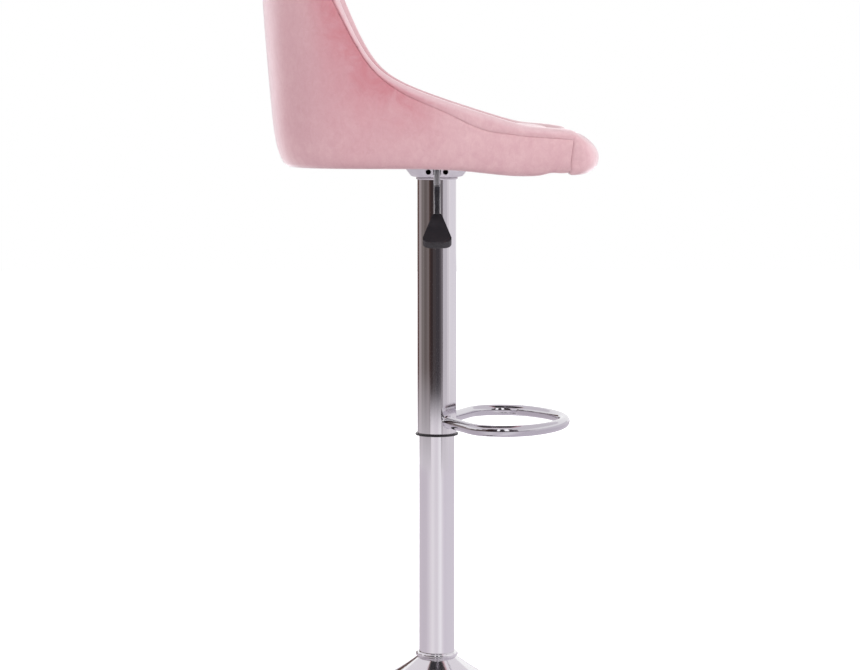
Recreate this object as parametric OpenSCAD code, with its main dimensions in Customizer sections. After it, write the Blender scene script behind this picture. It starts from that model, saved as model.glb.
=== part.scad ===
// Height-adjustable swivel bar stool with a velvet bucket seat, a footrest ring and a trumpet base.
// Millimetres. +Z is up, the floor is Z = 0, the column stands on X = Y = 0 and the sitter faces +X.
// The stool is drawn at its full height. Lowering it slides the seat and the outer tube down the pole.

/* [Base] */
// Diameter of the trumpet base
base_d = 385; // [360:1:420]
// Height of the base's rolled edge
base_edge_h = 8; // [7:0.5:12]
// Height of the neck where the pole enters the base
base_neck_h = 79; // [74:1:90]
// Part of the base's rise that is a straight slope
base_straight_rise = 17; // [10:1:20]
// Power of the curve that makes up the rest of the rise
base_flare_power = 2; // [1.9:0.1:2.8]
// Thickness of the base's steel sheet
base_sheet_t = 2; // [1.5:0.1:2.5]
// Radius of the rolled edge
base_edge_r = 5; // [4:0.5:6]
// Gap between the sheet's lower edge and the floor
base_lift = 1.5; // [1:0.5:2.5]
// Depth of the turned-down neck that holds the pole
neck_depth = 19; // [16:1:22]
// Width of the rubber ring that meets the floor
floor_ring_w = 7; // [5:0.5:12]
// Thickness of the steel plate that clamps the neck from below
hub_plate_t = 3; // [2:0.5:4]
// How far the clamp plate reaches past the pole
hub_plate_reach = 14; // [10:1:15]
// Pitch circle of the three clamp screws
hub_screw_pcd = 34; // [32:0.5:35]
// Thread diameter of the clamp screws
hub_screw_d = 6; // [5:0.5:6]
// Height of the chrome collar at the foot of the pole
collar_h = 7; // [5:0.5:10]
// How far the collar stands out from the pole
collar_reach = 5; // [4:0.5:7]

/* [Pole and gas lift] */
// Outer diameter of the fixed pole
pole_d = 50; // [49.5:0.1:50.6]
// Wall of the fixed pole
pole_wall = 1.5; // [1.2:0.1:2]
// Thickness of the steel disc welded into the pole's lower end
pole_foot_t = 8; // [6:0.5:10]
// Length of the plastic guide in the pole's upper end
guide_length = 60; // [45:1:64]
// Thickness of the guide's lip on top of the pole
guide_lip_t = 3; // [2:0.5:4]
// Number of ribs between the guide's two sleeves
guide_ribs = 8; // [6:1:10]
// Diameter of the gas cylinder
cylinder_d = 28; // [27:0.5:29]
// Wall of the gas cylinder
cylinder_wall = 1.5; // [1.2:0.1:2]
// How far the cylinder shows below the guide at full height
cylinder_below_guide = 5; // [3:0.5:10]
// Diameter of the piston rod
rod_d = 10; // [9.5:0.5:11]
// Diameter of the rod's turned-down lower end
rod_end_d = 8; // [7:0.5:8.5]
// Length of the piston
piston_length = 12; // [10:1:16]
// Length of the gland that the rod slides through
gland_length = 12; // [10:1:15]
// Free play between the gland and the piston at full height
piston_rest_gap = 3; // [1:0.5:5]
// Height of the rubber buffer under the bearing
buffer_h = 5; // [4:0.5:7]
// Diameter of the balls in the thrust bearing
ball_d = 5; // [4:0.25:5.25]
// Number of balls in the thrust bearing
ball_count = 9; // [7:1:9]
// Thickness of the bearing's races
race_t = 3; // [2.5:0.25:4]
// How much the seat can be lowered
lift_stroke = 210; // [180:1:210]

/* [Outer tube and footrest] */
// Outer diameter of the tube that carries the seat
tube_d = 55; // [54.6:0.1:56]
// Wall of the outer tube
tube_wall = 1.2; // [1:0.1:1.3]
// Height of the outer tube's lower end at full height
tube_bottom_z = 399; // [390:1:405]
// Length of the outer tube
tube_length = 358; // [357:1:362]
// Length of the black guide inside the tube's lower end
bushing_length = 70; // [50:1:85]
// Thickness of the guide's visible rim
bushing_rim_t = 3.4; // [2.5:0.1:5]
// How far the guide's rim stands out from the tube
bushing_rim_reach = 3; // [2:0.5:4]
// Thickness of the cap on the tube's upper end
cap_t = 4; // [3:0.5:5]
// Depth of the cap's plug in the tube
cap_plug = 10; // [8:0.5:14]
// Height of the footrest's tube above the outer tube's lower end
footrest_rise = 17; // [14:0.5:30]
// Diameter of the footrest's tube
footrest_tube_d = 16; // [14:0.5:18]
// Wall of the footrest's tube
footrest_wall = 1.2; // [1:0.1:2]
// Distance from the column's axis to the footrest's front
footrest_reach = 180; // [170:1:200]
// Half of the footrest's width, at the tube's centre
footrest_half_w = 125; // [115:1:130]
// Radius of the footrest's front bend
footrest_front_r = 150; // [140:1:160]
// Radius of the footrest's side bends
footrest_side_r = 65; // [55:1:75]
// Radius of the footrest's rear bends
footrest_rear_r = 47; // [42:1:52]
// Angle between the footrest's arms and the forward direction
footrest_arm_angle = 67; // [60:1:72]

/* [Seat mount and lever] */
// Radius of the mount dish at its bottom
dish_bottom_r = 36.5; // [35:0.5:38]
// Radius of the mount dish at its top
dish_top_r = 50; // [47:0.5:54]
// Height of the mount dish
dish_h = 17; // [16:0.5:19]
// Sheet thickness of the dish
dish_sheet_t = 2; // [1.5:0.1:2.2]
// Length of the tapered socket that grips the gas cylinder
socket_length = 45; // [40:1:45]
// Wall of the tapered socket
socket_wall = 3.5; // [3:0.1:4.5]
// Diameter of the two round holes beside the lever
dish_hole_d = 7.6; // [6:0.1:8.4]
// Distance of those holes from the lever's centre line
dish_hole_offset = 12; // [11:0.5:14]
// Side of the square seat plate
plate_side = 160; // [150:1:180]
// Thickness of the seat plate
plate_t = 3; // [2.5:0.1:4]
// Spacing of the seat screws
seat_screw_spacing = 124; // [116:1:130]
// Thread diameter of the seat screws
seat_screw_d = 8; // [6:0.5:8]
// Diameter of the lever's rod
lever_rod_d = 9; // [8:0.25:9.5]
// Distance from the column's axis to the lever's pivot
lever_pivot_offset = 28; // [26:0.5:30]
// Distance from the column's axis to the lever's bend
lever_bend_offset = 50; // [50:0.5:60]
// Angle by which the lever's outer part points down
lever_slope = 40; // [30:1:45]
// Radius of the lever's bend
lever_bend_r = 18; // [14:0.5:18]
// Length of the sloping rod from the bend to the handle
lever_slope_length = 92; // [78:1:100]
// Diameter of the lever's pivot pin
pivot_pin_d = 4; // [3:0.25:4]
// Length of the lever's handle
handle_length = 60; // [50:1:70]
// Width of the handle near its end
handle_width = 39; // [32:1:44]
// Width of the handle where the rod enters
handle_neck_w = 14; // [13:0.5:18]
// Thickness of the handle at its end
handle_t = 11; // [10.5:0.5:14]
// Diameter of the valve's push pin
valve_pin_d = 7; // [6:0.25:8]

/* [Seat] */
// Distance from the column's axis to the back of the seat at the arms' height
seat_rear = 227; // [220:1:238]
// Half of the seat's width at the arms
seat_half_w = 205; // [195:1:215]
// Distance from the column's axis to the front roll
seat_front = 180; // [172:1:190]
// How far the front roll stands out
roll_depth = 42; // [38:1:48]
// Height of the backrest's top above the seat plate
back_rise = 307; // [290:1:320]
// Height of the arms' level front part above the seat plate
arm_rise = 52; // [50:0.5:56]
// Slope of the arms behind their level part, as rise over run
arm_slope = 0.3; // [0.28:0.01:0.34]
// Distance in front of the column's axis at which the arms become level
arm_level_x = 121; // [114:1:128]
// Drop of the arms toward the front roll
arm_front_drop = 3; // [1:0.5:5]
// How far the front roll hangs below the seat plate
roll_hang = 9.5; // [7:0.5:12]
// Steepness of the wings that join the arms to the backrest
wing_steepness = 2.4; // [2.2:0.05:2.6]
// Distance behind the column's axis at which the wings' slope meets the arms' level
wing_start = 66; // [60:1:72]
// Backward lean of the backrest in degrees
back_lean = 4.3; // [2:0.1:6]
// Outward lean of the sides in degrees
side_lean = 2; // [0:0.2:4]
// How far the seat's lower edge is drawn in
tuck_depth = 13; // [9:1:18]
// Height over which the lower edge is drawn in
tuck_height = 69; // [58:1:78]
// Drop of the lower edge near the front
edge_drop = 10; // [7:0.5:11]
// Squareness of the backrest's plan outline
back_squareness = 3; // [2.6:0.1:3.2]
// Taper of the half width from the column to the front roll
front_taper = 15; // [8:1:20]
// Thickness of the padded outer panel
panel_t = 10; // [8:0.5:12]
// Thickness of the moulded plywood shell
shell_t = 8; // [6:0.5:9]
// Thickness of the padding on the arms
arm_pad_t = 24; // [20:1:28]
// Extra thickness of the padding on the backrest
back_pad_extra = 12; // [8:1:16]
// How much thinner the padding gets toward the rim
rim_thinning = 16; // [12:1:20]
// Height of the rolled rim strip above the side seam
rim_strip = 12; // [10:0.5:14]
// Height of the rim strip along the wings and the back
wing_strip = 8; // [6:0.5:10]
// Extra width of the rim strip where the side seam dips
seam_dip = 8.5; // [4:0.5:10]
// How far the rim roll stands out from the panel
rim_bulge = 2.5; // [1.5:0.5:4]
// Thickness of the plywood seat board
board_t = 14; // [12:0.5:16]
// Height of the cushion's top above the board at the front
cushion_h = 30; // [27:0.5:33]
// Rise of the cushion's crown
cushion_crown = 7; // [4:0.5:10]

/* [Hidden] */
$fn = 72;

// Clearances: a sliding fit, a driven or welded fit, and the gaps between soft parts, at the side seam
// and round the cushion
slide_fit = 0.08;
tight_fit = 0.03;
soft_gap = 0.4;
seam_gap = 1.2;
cushion_gap = 1.4;
over = 1;
// Bent tubes are joined stretch by stretch: one reaches this far into the next, which is this much thinner
lap = 0.3;
lap_step = 0.03;

// Finishes
chrome = [0.82, 0.82, 0.84];
zinc = [0.66, 0.67, 0.69];
dark_steel = [0.36, 0.36, 0.38];
black = [0.10, 0.10, 0.11];
rubber = [0.15, 0.15, 0.16];
brass = [0.78, 0.63, 0.32];
velvet = [0.87, 0.70, 0.74];
velvet_light = [0.90, 0.75, 0.79];
plywood = [0.78, 0.62, 0.42];

// Base heights
neck_bottom = base_neck_h - neck_depth;
neck_inner_r = pole_d / 2 + 0.3;
neck_outer_r = neck_inner_r + base_sheet_t;
base_r = base_d / 2;
hub_bottom = neck_bottom - hub_plate_t;
pole_r = pole_d / 2;
pole_bore_r = pole_r - pole_wall;
pole_bottom = neck_bottom;
foot_top = pole_bottom + pole_foot_t;

// Bearing stack on the pole's foot
rod_end_r = rod_end_d / 2;
buffer_top = foot_top + buffer_h;
lower_race_top = buffer_top + race_t;
groove_depth = ball_d * 0.16;
ball_z = lower_race_top - groove_depth + ball_d / 2;
upper_race_bottom = ball_z + ball_d / 2 - groove_depth;
rod_shoulder = upper_race_bottom + race_t;
ball_pitch_r = 9;
race_r = 12;
hub_hole_r = 11;
clip_t = 1;
rod_washer_t = 1.4;
rod_washer_r = 8;
rod_tip = pole_bottom - 4.5;
clip_top = pole_bottom - rod_washer_t - 0.3;

// Outer tube and mount
tube_r = tube_d / 2;
tube_bore_r = tube_r - tube_wall;
tube_top = tube_bottom_z + tube_length;
footrest_z = tube_bottom_z + footrest_rise;
dish_bottom = tube_top + cap_t;
dish_floor = dish_bottom + dish_sheet_t;
plate_bottom = dish_bottom + dish_h;
plate_top = plate_bottom + plate_t;
socket_bottom = dish_floor - socket_length;
cap_bead_reach = 2;

// Gas lift. The pole ends a little below the socket of the fully lowered seat.
lowered_gap = 5;
pole_top = socket_bottom - lift_stroke - guide_lip_t - lowered_gap;
cylinder_r = cylinder_d / 2;
cylinder_bore_r = cylinder_r - cylinder_wall;
guide_bottom = pole_top - guide_length;
cylinder_bottom = guide_bottom - cylinder_below_guide;
gland_top = cylinder_bottom + gland_length;
piston_bottom = gland_top + piston_rest_gap;
piston_top = piston_bottom + piston_length;
taper_drop = 0.7;
cylinder_top = dish_bottom - 1;
cavity_top = cylinder_top - 28;
socket_r = cylinder_r + socket_wall;

// Lever and valve
lever_rod_r = lever_rod_d / 2;
lever_z = plate_bottom - lever_rod_r - 3.5;
arm_half_h = 2.5;
arm_z = lever_z - 0.5;
arm_bottom = arm_z - arm_half_h;
arm_reach = 6;
arm_start = 18;
bend_tangent = lever_bend_r * tan(lever_slope / 2);
bracket_t = 2;
bracket_half_gap = lever_rod_r + 1;
bracket_half_l = 7;
valve_pin_r = valve_pin_d / 2;
valve_pin_top = arm_bottom - 0.3;
valve_pin_length = 22;
valve_travel = 4.4;
handle_socket = 24;

// Seat stack
dust_cover_t = 1;
board_bottom = plate_top + dust_cover_t;
board_top = board_bottom + board_t;
screw_r = seat_screw_d / 2;
screw_head_t = 2.6;
washer_t = 1.2;
tee_flange_t = 1.5;
tee_barrel_r = screw_r + 1.2;
tee_flange_r = screw_r + 6.5;
screw_places = [for (sx = [-1, 1], sy = [-1, 1]) [sx, sy] * seat_screw_spacing / 2];

// Seat surface. The outline is followed by u, from -1 at the near front corner over 0 at the rear to 1.
edge_z = plate_bottom - 0.4;
edge_low_x = 118;
edge_low_run = 75;
back_centre = 60;
rear_share = 0.56;
rim_top = plate_bottom + back_rise;
arm_low_z = plate_bottom + arm_rise;
arm_fall_x = 110;
arm_blend = 4.5;
seam_dip_x = 60;
seam_dip_run = 42;
strip_change_x = -90;
strip_change_run = 70;
wing_blend = 67;
rim_round = 17;
rim_profile = [[0.13, 0.05], [0.03, 0.22], [0, 0.42], [0.12, 0.68], [0.42, 0.9]];
top_blend = 30;
seam_tuck = 2;
tuck_power = 2.3;
panel_bulge = 3;
shell_outer_d = panel_t + soft_gap;
shell_levels = 5;
shell_lift = 8;
pad_outer_d = shell_outer_d + shell_t + soft_gap;
pad_bottom = board_top + soft_gap;
stations = 56;

function smooth_max(a, b, k) = (a + b + sqrt((a - b) * (a - b) + k * k)) / 2;
function smooth_min(a, b, k) = (a + b - sqrt((a - b) * (a - b) + k * k)) / 2;
function clamp01(v) = min(1, max(0, v));
function mix(a, b, t) = a + (b - a) * t;
function ease(t) = let (c = clamp01(t)) c * c * (3 - 2 * c);

// Points of an arc in a plane, from one angle to another
function arc(centre, r, from, to, steps) =
    [for (i = [0 : steps]) let (a = mix(from, to, i / steps)) centre + r * [cos(a), sin(a)]];

// Height of the lower edge at a distance x from the column's axis
function lower_edge(x) = edge_z - edge_drop * exp(-pow((x - edge_low_x) / edge_low_run, 2));

// How far the surface is drawn in at a height h above the lower edge
function tuck(h) =
    let (s = clamp01((tuck_height - h) / tuck_height))
    tuck_depth * (1 - pow(1 - pow(s, tuck_power), 1 / tuck_power));

// Polar angle of the rear half of the outline, measured from the rear
function rear_angle(u) = 90 * min(1, abs(u) / rear_share);
function side_run(u) = clamp01((abs(u) - rear_share) / (1 - rear_share));
function superellipse_r(t, a, b) =
    1 / pow(pow(cos(t) / a, back_squareness) + pow(sin(t) / b, back_squareness), 1 / back_squareness);

// Outline for a given rear reach and half width, as [x, y]
function outline(u, rear, half) =
    let (t = rear_angle(u), q = side_run(u), a = rear - back_centre)
    let (r = superellipse_r(t, a, half), side = half - front_taper * q * q)
    q > 0
        ? [mix(-back_centre, seat_front, q), sign(u) * side]
        : [-back_centre - r * cos(t), sign(u) * r * sin(t)];

function base_x(u) = outline(u, seat_rear, seat_half_w).x;
function lean(z, angle) = (z - edge_z - tuck_height) * tan(angle);

// Level direction into the seat at u
function inward(u) =
    let (t = rear_angle(u), a = seat_rear - back_centre, n = back_squareness - 1)
    let (r = superellipse_r(t, a, seat_half_w))
    let (gx = pow(r * cos(t) / a, n) / a, gy = pow(r * sin(t) / seat_half_w, n) / seat_half_w)
    side_run(u) > 0 ? [0, -sign(u)] : [gx, -sign(u) * gy] / norm([gx, gy]);

// A point of the seat wall at station u, height z and depth d under the outer surface
function wall(u, z, d) =
    let (drawn = tuck(z - lower_edge(base_x(u))))
    let (p = outline(u, seat_rear + lean(z, back_lean) - drawn, seat_half_w + lean(z, side_lean) - 0.8 * drawn))
    let (n = inward(u))
    [p.x + n.x * d, p.y + n.y * d, z];

// Height of the rim at u
function arm_z_at(x) =
    let (level = arm_low_z - arm_front_drop * pow(max(0, x - arm_fall_x) / (seat_front - arm_fall_x), 2))
    smooth_max(level, arm_low_z + arm_slope * (arm_level_x - x), arm_blend);
function wing_z_at(x) = arm_low_z + wing_steepness * (-wing_start - x);
function rim(u) =
    let (x = base_x(u))
    smooth_min(smooth_max(arm_z_at(x), wing_z_at(x), wing_blend), rim_top, top_blend);
function strip(u) =
    let (x = base_x(u), arms = ease((x - strip_change_x) / strip_change_run))
    mix(wing_strip, rim_strip, arms) + seam_dip * exp(-pow((x - seam_dip_x) / seam_dip_run, 2));
function seam(u) = rim(u) - strip(u);

// Heights of the plywood shell's levels, which the panel's inner face follows too
function shell_z(u, k) = mix(lower_edge(base_x(u)) + shell_lift, seam(u) - 1, k / shell_levels);

// Point at height z on the flat faces between the shell's levels
function shell_side(u, z, d) =
    let (step = shell_levels * (z - shell_z(u, 0)) / (shell_z(u, shell_levels) - shell_z(u, 0)))
    let (k = min(shell_levels - 1, floor(step)))
    let (a = wall(u, shell_z(u, k), d), b = wall(u, shell_z(u, k + 1), d))
    a + (b - a) * (step - k);

// Depth of the padding's inner face at u and height z
function pad_depth(u, z) =
    let (back = 1 - ease((abs(u) - 0.15) / 0.5), s = clamp01((z - pad_bottom) / (rim(u) - pad_bottom)))
    pad_outer_d + arm_pad_t + back_pad_extra * back + (2 + 8 * back) * sin(180 * s) - rim_thinning * pow(s, 3);

function station(i) = -1 + 2 * i / stations;

// Closed tube of quads, split into triangles, through rings of equal length, with both ends capped
module skin(rings) {
    n = len(rings[0]);
    last = len(rings) - 1;
    points = [for (ring = rings) each ring];
    sides = [for (i = [0 : last - 1], j = [0 : n - 1])
        let (k = (j + 1) % n, p = i * n + j, q = i * n + k)
        each [[p, p + n, q + n], [p, q + n, q]]];
    start = [for (j = [1 : n - 2]) [0, j, j + 1]];
    finish = [for (j = [1 : n - 2]) [last * n, last * n + j + 1, last * n + j]];
    polyhedron(points, concat(sides, start, finish));
}

// Round bar or tube with a bore
module pipe(r_out, r_in, h) {
    difference() {
        cylinder(r = r_out, h = h);
        translate([0, 0, -over]) cylinder(r = r_in, h = h + 2 * over);
    }
}

// Height of the trumpet's upper surface at radius r
function trumpet_z(r) =
    let (t = (base_r - r) / (base_r - neck_outer_r))
    let (curve = base_neck_h - base_edge_h - base_straight_rise)
    base_edge_h + base_straight_rise * t + curve * pow(t, base_flare_power);
function trumpet_slope(r) = (trumpet_z(r + 0.5) - trumpet_z(r - 0.5));
function trumpet_inner(r) =
    let (s = trumpet_slope(r), n = norm([s, 1]))
    [max(neck_outer_r, r + base_sheet_t * s / n), trumpet_z(r) - base_sheet_t / n];

module base_shell() {
    steps = 26;
    edge_x = base_r - base_edge_r;
    outer = [for (i = [0 : steps]) let (r = mix(neck_outer_r, edge_x, i / steps)) [r, trumpet_z(r)]];
    inner = [for (i = [steps : -1 : 0]) trumpet_inner(mix(neck_outer_r + 2, edge_x, i / steps))];
    roll_z = trumpet_z(edge_x) - base_edge_r;
    color(chrome)
    rotate_extrude($fn = 120)
    polygon(concat(
        [[neck_inner_r, neck_bottom], [neck_inner_r, base_neck_h]],
        outer,
        arc([edge_x, roll_z], base_edge_r, 80, 0, 6),
        [[base_r, base_lift], [base_r - base_sheet_t, base_lift]],
        arc([edge_x, roll_z], base_edge_r - base_sheet_t, 0, 80, 6),
        inner,
        [[neck_outer_r, neck_bottom]]
    ));
}

module floor_ring() {
    outer_r = base_r - base_sheet_t - tight_fit;
    inner_r = outer_r - floor_ring_w;
    edge_x = base_r - base_edge_r;
    top = trumpet_z(edge_x) - base_sheet_t - 0.2;
    shoulder = trumpet_z(edge_x) - base_edge_r;
    color(rubber)
    rotate_extrude($fn = 120)
    polygon([[inner_r, 0], [outer_r, 0], [outer_r, shoulder], [edge_x, top], [inner_r, top]]);
}

module hub_plate() {
    color(dark_steel)
    difference() {
        translate([0, 0, hub_bottom]) cylinder(r = pole_r + hub_plate_reach, h = hub_plate_t);
        translate([0, 0, hub_bottom - over]) cylinder(r = hub_hole_r, h = hub_plate_t + 2 * over);
        hub_screw_holes(hub_screw_d / 2 + 0.2, hub_bottom - over, neck_bottom + over);
    }
}

module hub_screw_holes(r, from, to) {
    for (a = [0 : 120 : 240])
        rotate([0, 0, a]) translate([hub_screw_pcd / 2, 0, from]) cylinder(r = r, h = to - from, $fn = 32);
}

module hub_screws() {
    head_h = 0.65 * hub_screw_d;
    color(zinc)
    for (a = [0 : 120 : 240])
        rotate([0, 0, a]) translate([hub_screw_pcd / 2, 0, hub_bottom - head_h]) {
            cylinder(r = 0.92 * hub_screw_d, h = head_h, $fn = 6);
            translate([0, 0, head_h]) cylinder(r = hub_screw_d / 2, h = hub_plate_t + pole_foot_t - 1, $fn = 32);
        }
}

module pole() {
    color(chrome) translate([0, 0, pole_bottom]) pipe(pole_r, pole_bore_r, pole_top - pole_bottom);
}

module pole_foot() {
    color(dark_steel)
    difference() {
        translate([0, 0, pole_bottom]) cylinder(r = pole_bore_r - tight_fit, h = pole_foot_t);
        translate([0, 0, pole_bottom - over]) cylinder(r = rod_end_r + slide_fit, h = pole_foot_t + 2 * over);
        hub_screw_holes(hub_screw_d / 2 + tight_fit, pole_bottom - over, foot_top + over);
    }
}

module pole_collar() {
    inner_r = pole_r + tight_fit;
    outer_r = pole_r + collar_reach;
    bead_r = collar_h / 2;
    color(chrome)
    translate([0, 0, base_neck_h])
    rotate_extrude()
    polygon(concat(
        [[inner_r, 0]],
        arc([outer_r - bead_r, bead_r], bead_r, -90, 90, 12),
        [[inner_r, collar_h]]
    ));
}

module guide_sleeve() {
    inner_wall = 2.5;
    outer_wall = 2;
    rib_t = 2;
    outer_r = pole_bore_r - tight_fit;
    inner_r = cylinder_r + slide_fit;
    color(black)
    union() {
        translate([0, 0, guide_bottom]) pipe(inner_r + inner_wall, inner_r, guide_length);
        translate([0, 0, guide_bottom]) pipe(outer_r, outer_r - outer_wall, guide_length);
        translate([0, 0, pole_top]) pipe(pole_r - 0.2, inner_r, guide_lip_t);
        for (i = [0 : guide_ribs - 1])
            rotate([0, 0, 360 * i / guide_ribs])
            translate([inner_r + inner_wall / 2, -rib_t / 2, guide_bottom])
            cube([outer_r - inner_r - (inner_wall + outer_wall) / 2, rib_t, guide_length]);
    }
}

module bearing_buffer() {
    color(rubber) translate([0, 0, foot_top]) pipe(race_r - 1, rod_end_r + 0.3, buffer_h);
}

// Flat ring with a round groove for the balls at height groove_z
module race(z, bore_r, groove_z) {
    difference() {
        translate([0, 0, z]) pipe(race_r, bore_r, race_t);
        translate([0, 0, groove_z])
        rotate_extrude()
        translate([ball_pitch_r, 0]) circle(r = ball_d / 2 + 0.05, $fn = 48);
    }
}

module lower_race() {
    color(zinc) race(buffer_top, rod_end_r + 0.3, ball_z);
}

module upper_race() {
    color(zinc) race(upper_race_bottom, rod_end_r + tight_fit, ball_z);
}

module bearing_balls() {
    cage_t = 1;
    cage_half_w = 1.6;
    color(brass)
    union() {
        translate([0, 0, ball_z - cage_t / 2]) pipe(ball_pitch_r + cage_half_w, ball_pitch_r - cage_half_w, cage_t);
        for (i = [0 : ball_count - 1])
            rotate([0, 0, 360 * i / ball_count]) translate([ball_pitch_r, 0, ball_z]) sphere(d = ball_d, $fn = 32);
    }
}

module piston_rod() {
    groove_t = clip_t + 0.2;
    groove_r = rod_end_r - 0.8;
    neck_r = rod_d / 2 - 1;
    color(chrome)
    rotate_extrude()
    polygon([
        [0, rod_tip], [rod_end_r - 0.6, rod_tip], [rod_end_r, rod_tip + 0.6],
        [rod_end_r, clip_top - groove_t + 0.1], [groove_r, clip_top - groove_t + 0.1],
        [groove_r, clip_top + 0.1], [rod_end_r, clip_top + 0.1], [rod_end_r, rod_shoulder],
        [rod_d / 2, rod_shoulder], [rod_d / 2, piston_bottom], [neck_r, piston_bottom],
        [neck_r, piston_top + 1.5], [0, piston_top + 1.5]
    ]);
}

module piston() {
    seal_groove = 1.2;
    r = cylinder_bore_r - slide_fit;
    bore = rod_d / 2 - 1 + tight_fit;
    third = piston_length / 3;
    color(black)
    translate([0, 0, piston_bottom])
    rotate_extrude()
    polygon([
        [bore, 0], [r, 0], [r, third], [r - seal_groove, third],
        [r - seal_groove, 2 * third], [r, 2 * third], [r, piston_length], [bore, piston_length]
    ]);
}

module rod_washer() {
    color(zinc) translate([0, 0, pole_bottom - rod_washer_t - 0.1]) pipe(rod_washer_r, rod_end_r + 0.1, rod_washer_t);
}

// Open clip that snaps into the rod's groove
module rod_clip() {
    color(dark_steel)
    translate([0, 0, clip_top - clip_t])
    difference() {
        cylinder(r = rod_end_r + 2.4, h = clip_t);
        translate([0, 0, -over]) cylinder(r = rod_end_r - 0.7, h = clip_t + 2 * over);
        translate([0, -rod_end_r + 1, -over]) cube([rod_end_r + 4, 2 * rod_end_r - 2, clip_t + 2 * over]);
    }
}

module gas_cylinder() {
    pin_bore = valve_pin_r + 0.06;
    bore_floor = valve_pin_top - valve_pin_length - valve_travel - 1;
    color(dark_steel)
    rotate_extrude()
    polygon([
        [cylinder_bore_r, cylinder_bottom], [cylinder_r, cylinder_bottom], [cylinder_r, socket_bottom],
        [cylinder_r - taper_drop, cylinder_top], [pin_bore, cylinder_top], [pin_bore, bore_floor],
        [0, bore_floor], [0, cavity_top], [cylinder_bore_r, cavity_top]
    ]);
}

module rod_gland() {
    color(brass)
    translate([0, 0, cylinder_bottom])
    pipe(cylinder_bore_r - tight_fit, rod_d / 2 + slide_fit, gland_length);
}

module valve_pin() {
    tip = 0.8;
    bottom = valve_pin_top - valve_pin_length;
    color(zinc)
    rotate_extrude()
    polygon([
        [0, bottom], [valve_pin_r, bottom], [valve_pin_r, valve_pin_top - tip],
        [valve_pin_r - tip, valve_pin_top], [0, valve_pin_top]
    ]);
}

module outer_tube() {
    color(chrome) translate([0, 0, tube_bottom_z]) pipe(tube_r, tube_bore_r, tube_length);
}

module tube_bushing() {
    bore = pole_r + slide_fit;
    lip = 0.8;
    rim_r = tube_r + bushing_rim_reach;
    color(black)
    translate([0, 0, tube_bottom_z])
    rotate_extrude()
    polygon([
        [bore, -bushing_rim_t], [rim_r - lip, -bushing_rim_t], [rim_r, lip - bushing_rim_t], [rim_r, -lip],
        [rim_r - lip, 0], [tube_bore_r - tight_fit, 0], [tube_bore_r - tight_fit, bushing_length],
        [bore, bushing_length]
    ]);
}

module tube_cap() {
    inner_r = socket_r + tight_fit;
    plug_r = tube_bore_r - tight_fit;
    bead_r = cap_t / 2;
    bead_x = tube_r + cap_bead_reach - bead_r;
    color(zinc)
    translate([0, 0, tube_top])
    rotate_extrude()
    polygon(concat(
        [[inner_r, -cap_plug], [plug_r, -cap_plug], [plug_r, 0]],
        arc([bead_x, bead_r], bead_r, -90, 90, 10),
        [[inner_r, cap_t]]
    ));
}

// One bend of the footrest's tube. A lapping bend reaches into its neighbours, the others are a hair thinner.
module footrest_bend(centre, r, from, to, laps) {
    extra = laps ? lap / r * 180 / PI : 0;
    translate([centre.x, centre.y, footrest_z])
    rotate([0, 0, from - extra])
    rotate_extrude(angle = to - from + 2 * extra)
    translate([r, 0]) footrest_section(laps ? 0 : lap_step);
}

module footrest_section(thinner) {
    difference() {
        circle(r = footrest_tube_d / 2 - thinner, $fn = 40);
        circle(r = footrest_tube_d / 2 - footrest_wall + thinner, $fn = 40);
    }
}

module footrest_ring() {
    front_centre_x = footrest_reach - footrest_front_r;
    blend_r = footrest_front_r - footrest_side_r;
    front_angle = asin((footrest_half_w - footrest_side_r) / blend_r);
    side_centre = [front_centre_x + blend_r * cos(front_angle), footrest_half_w - footrest_side_r];
    rear_centre = [side_centre.x, footrest_half_w - footrest_rear_r];
    rear_angle_end = footrest_arm_angle + 90;
    arm_from = rear_centre + footrest_rear_r * [cos(rear_angle_end), sin(rear_angle_end)];
    arm_dir = [cos(footrest_arm_angle), sin(footrest_arm_angle)];
    along = arm_from * arm_dir;
    aside = norm(arm_from - along * arm_dir);
    arm_length = along - sqrt(pow(tube_r - 1, 2) - aside * aside) + footrest_tube_d / 4;
    color(chrome)
    difference() {
        union() {
            footrest_bend([front_centre_x, 0], footrest_front_r, -front_angle, front_angle, false);
            for (s = [0, 1]) mirror([0, s, 0]) {
                footrest_bend(side_centre, footrest_side_r, front_angle, 90, true);
                footrest_bend(rear_centre, footrest_rear_r, 90, rear_angle_end, false);
                translate([arm_from.x, arm_from.y, footrest_z])
                rotate([0, 0, footrest_arm_angle])
                rotate([0, -90, 0]) {
                    translate([0, 0, -lap]) linear_extrude(arm_length + lap) footrest_section(0);
                    translate([0, 0, arm_length - 8]) footrest_weld();
                }
            }
        }
        translate([0, 0, footrest_z - 40]) cylinder(r = tube_r, h = 80);
    }
}

// Bead of weld metal where an arm meets the outer tube
module footrest_weld() {
    difference() {
        cylinder(r1 = footrest_tube_d / 2 + 0.2, r2 = footrest_tube_d / 2 + 4, h = 8, $fn = 40);
        translate([0, 0, -over]) cylinder(d = footrest_tube_d - footrest_wall, h = 8 + 2 * over, $fn = 40);
    }
}

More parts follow.
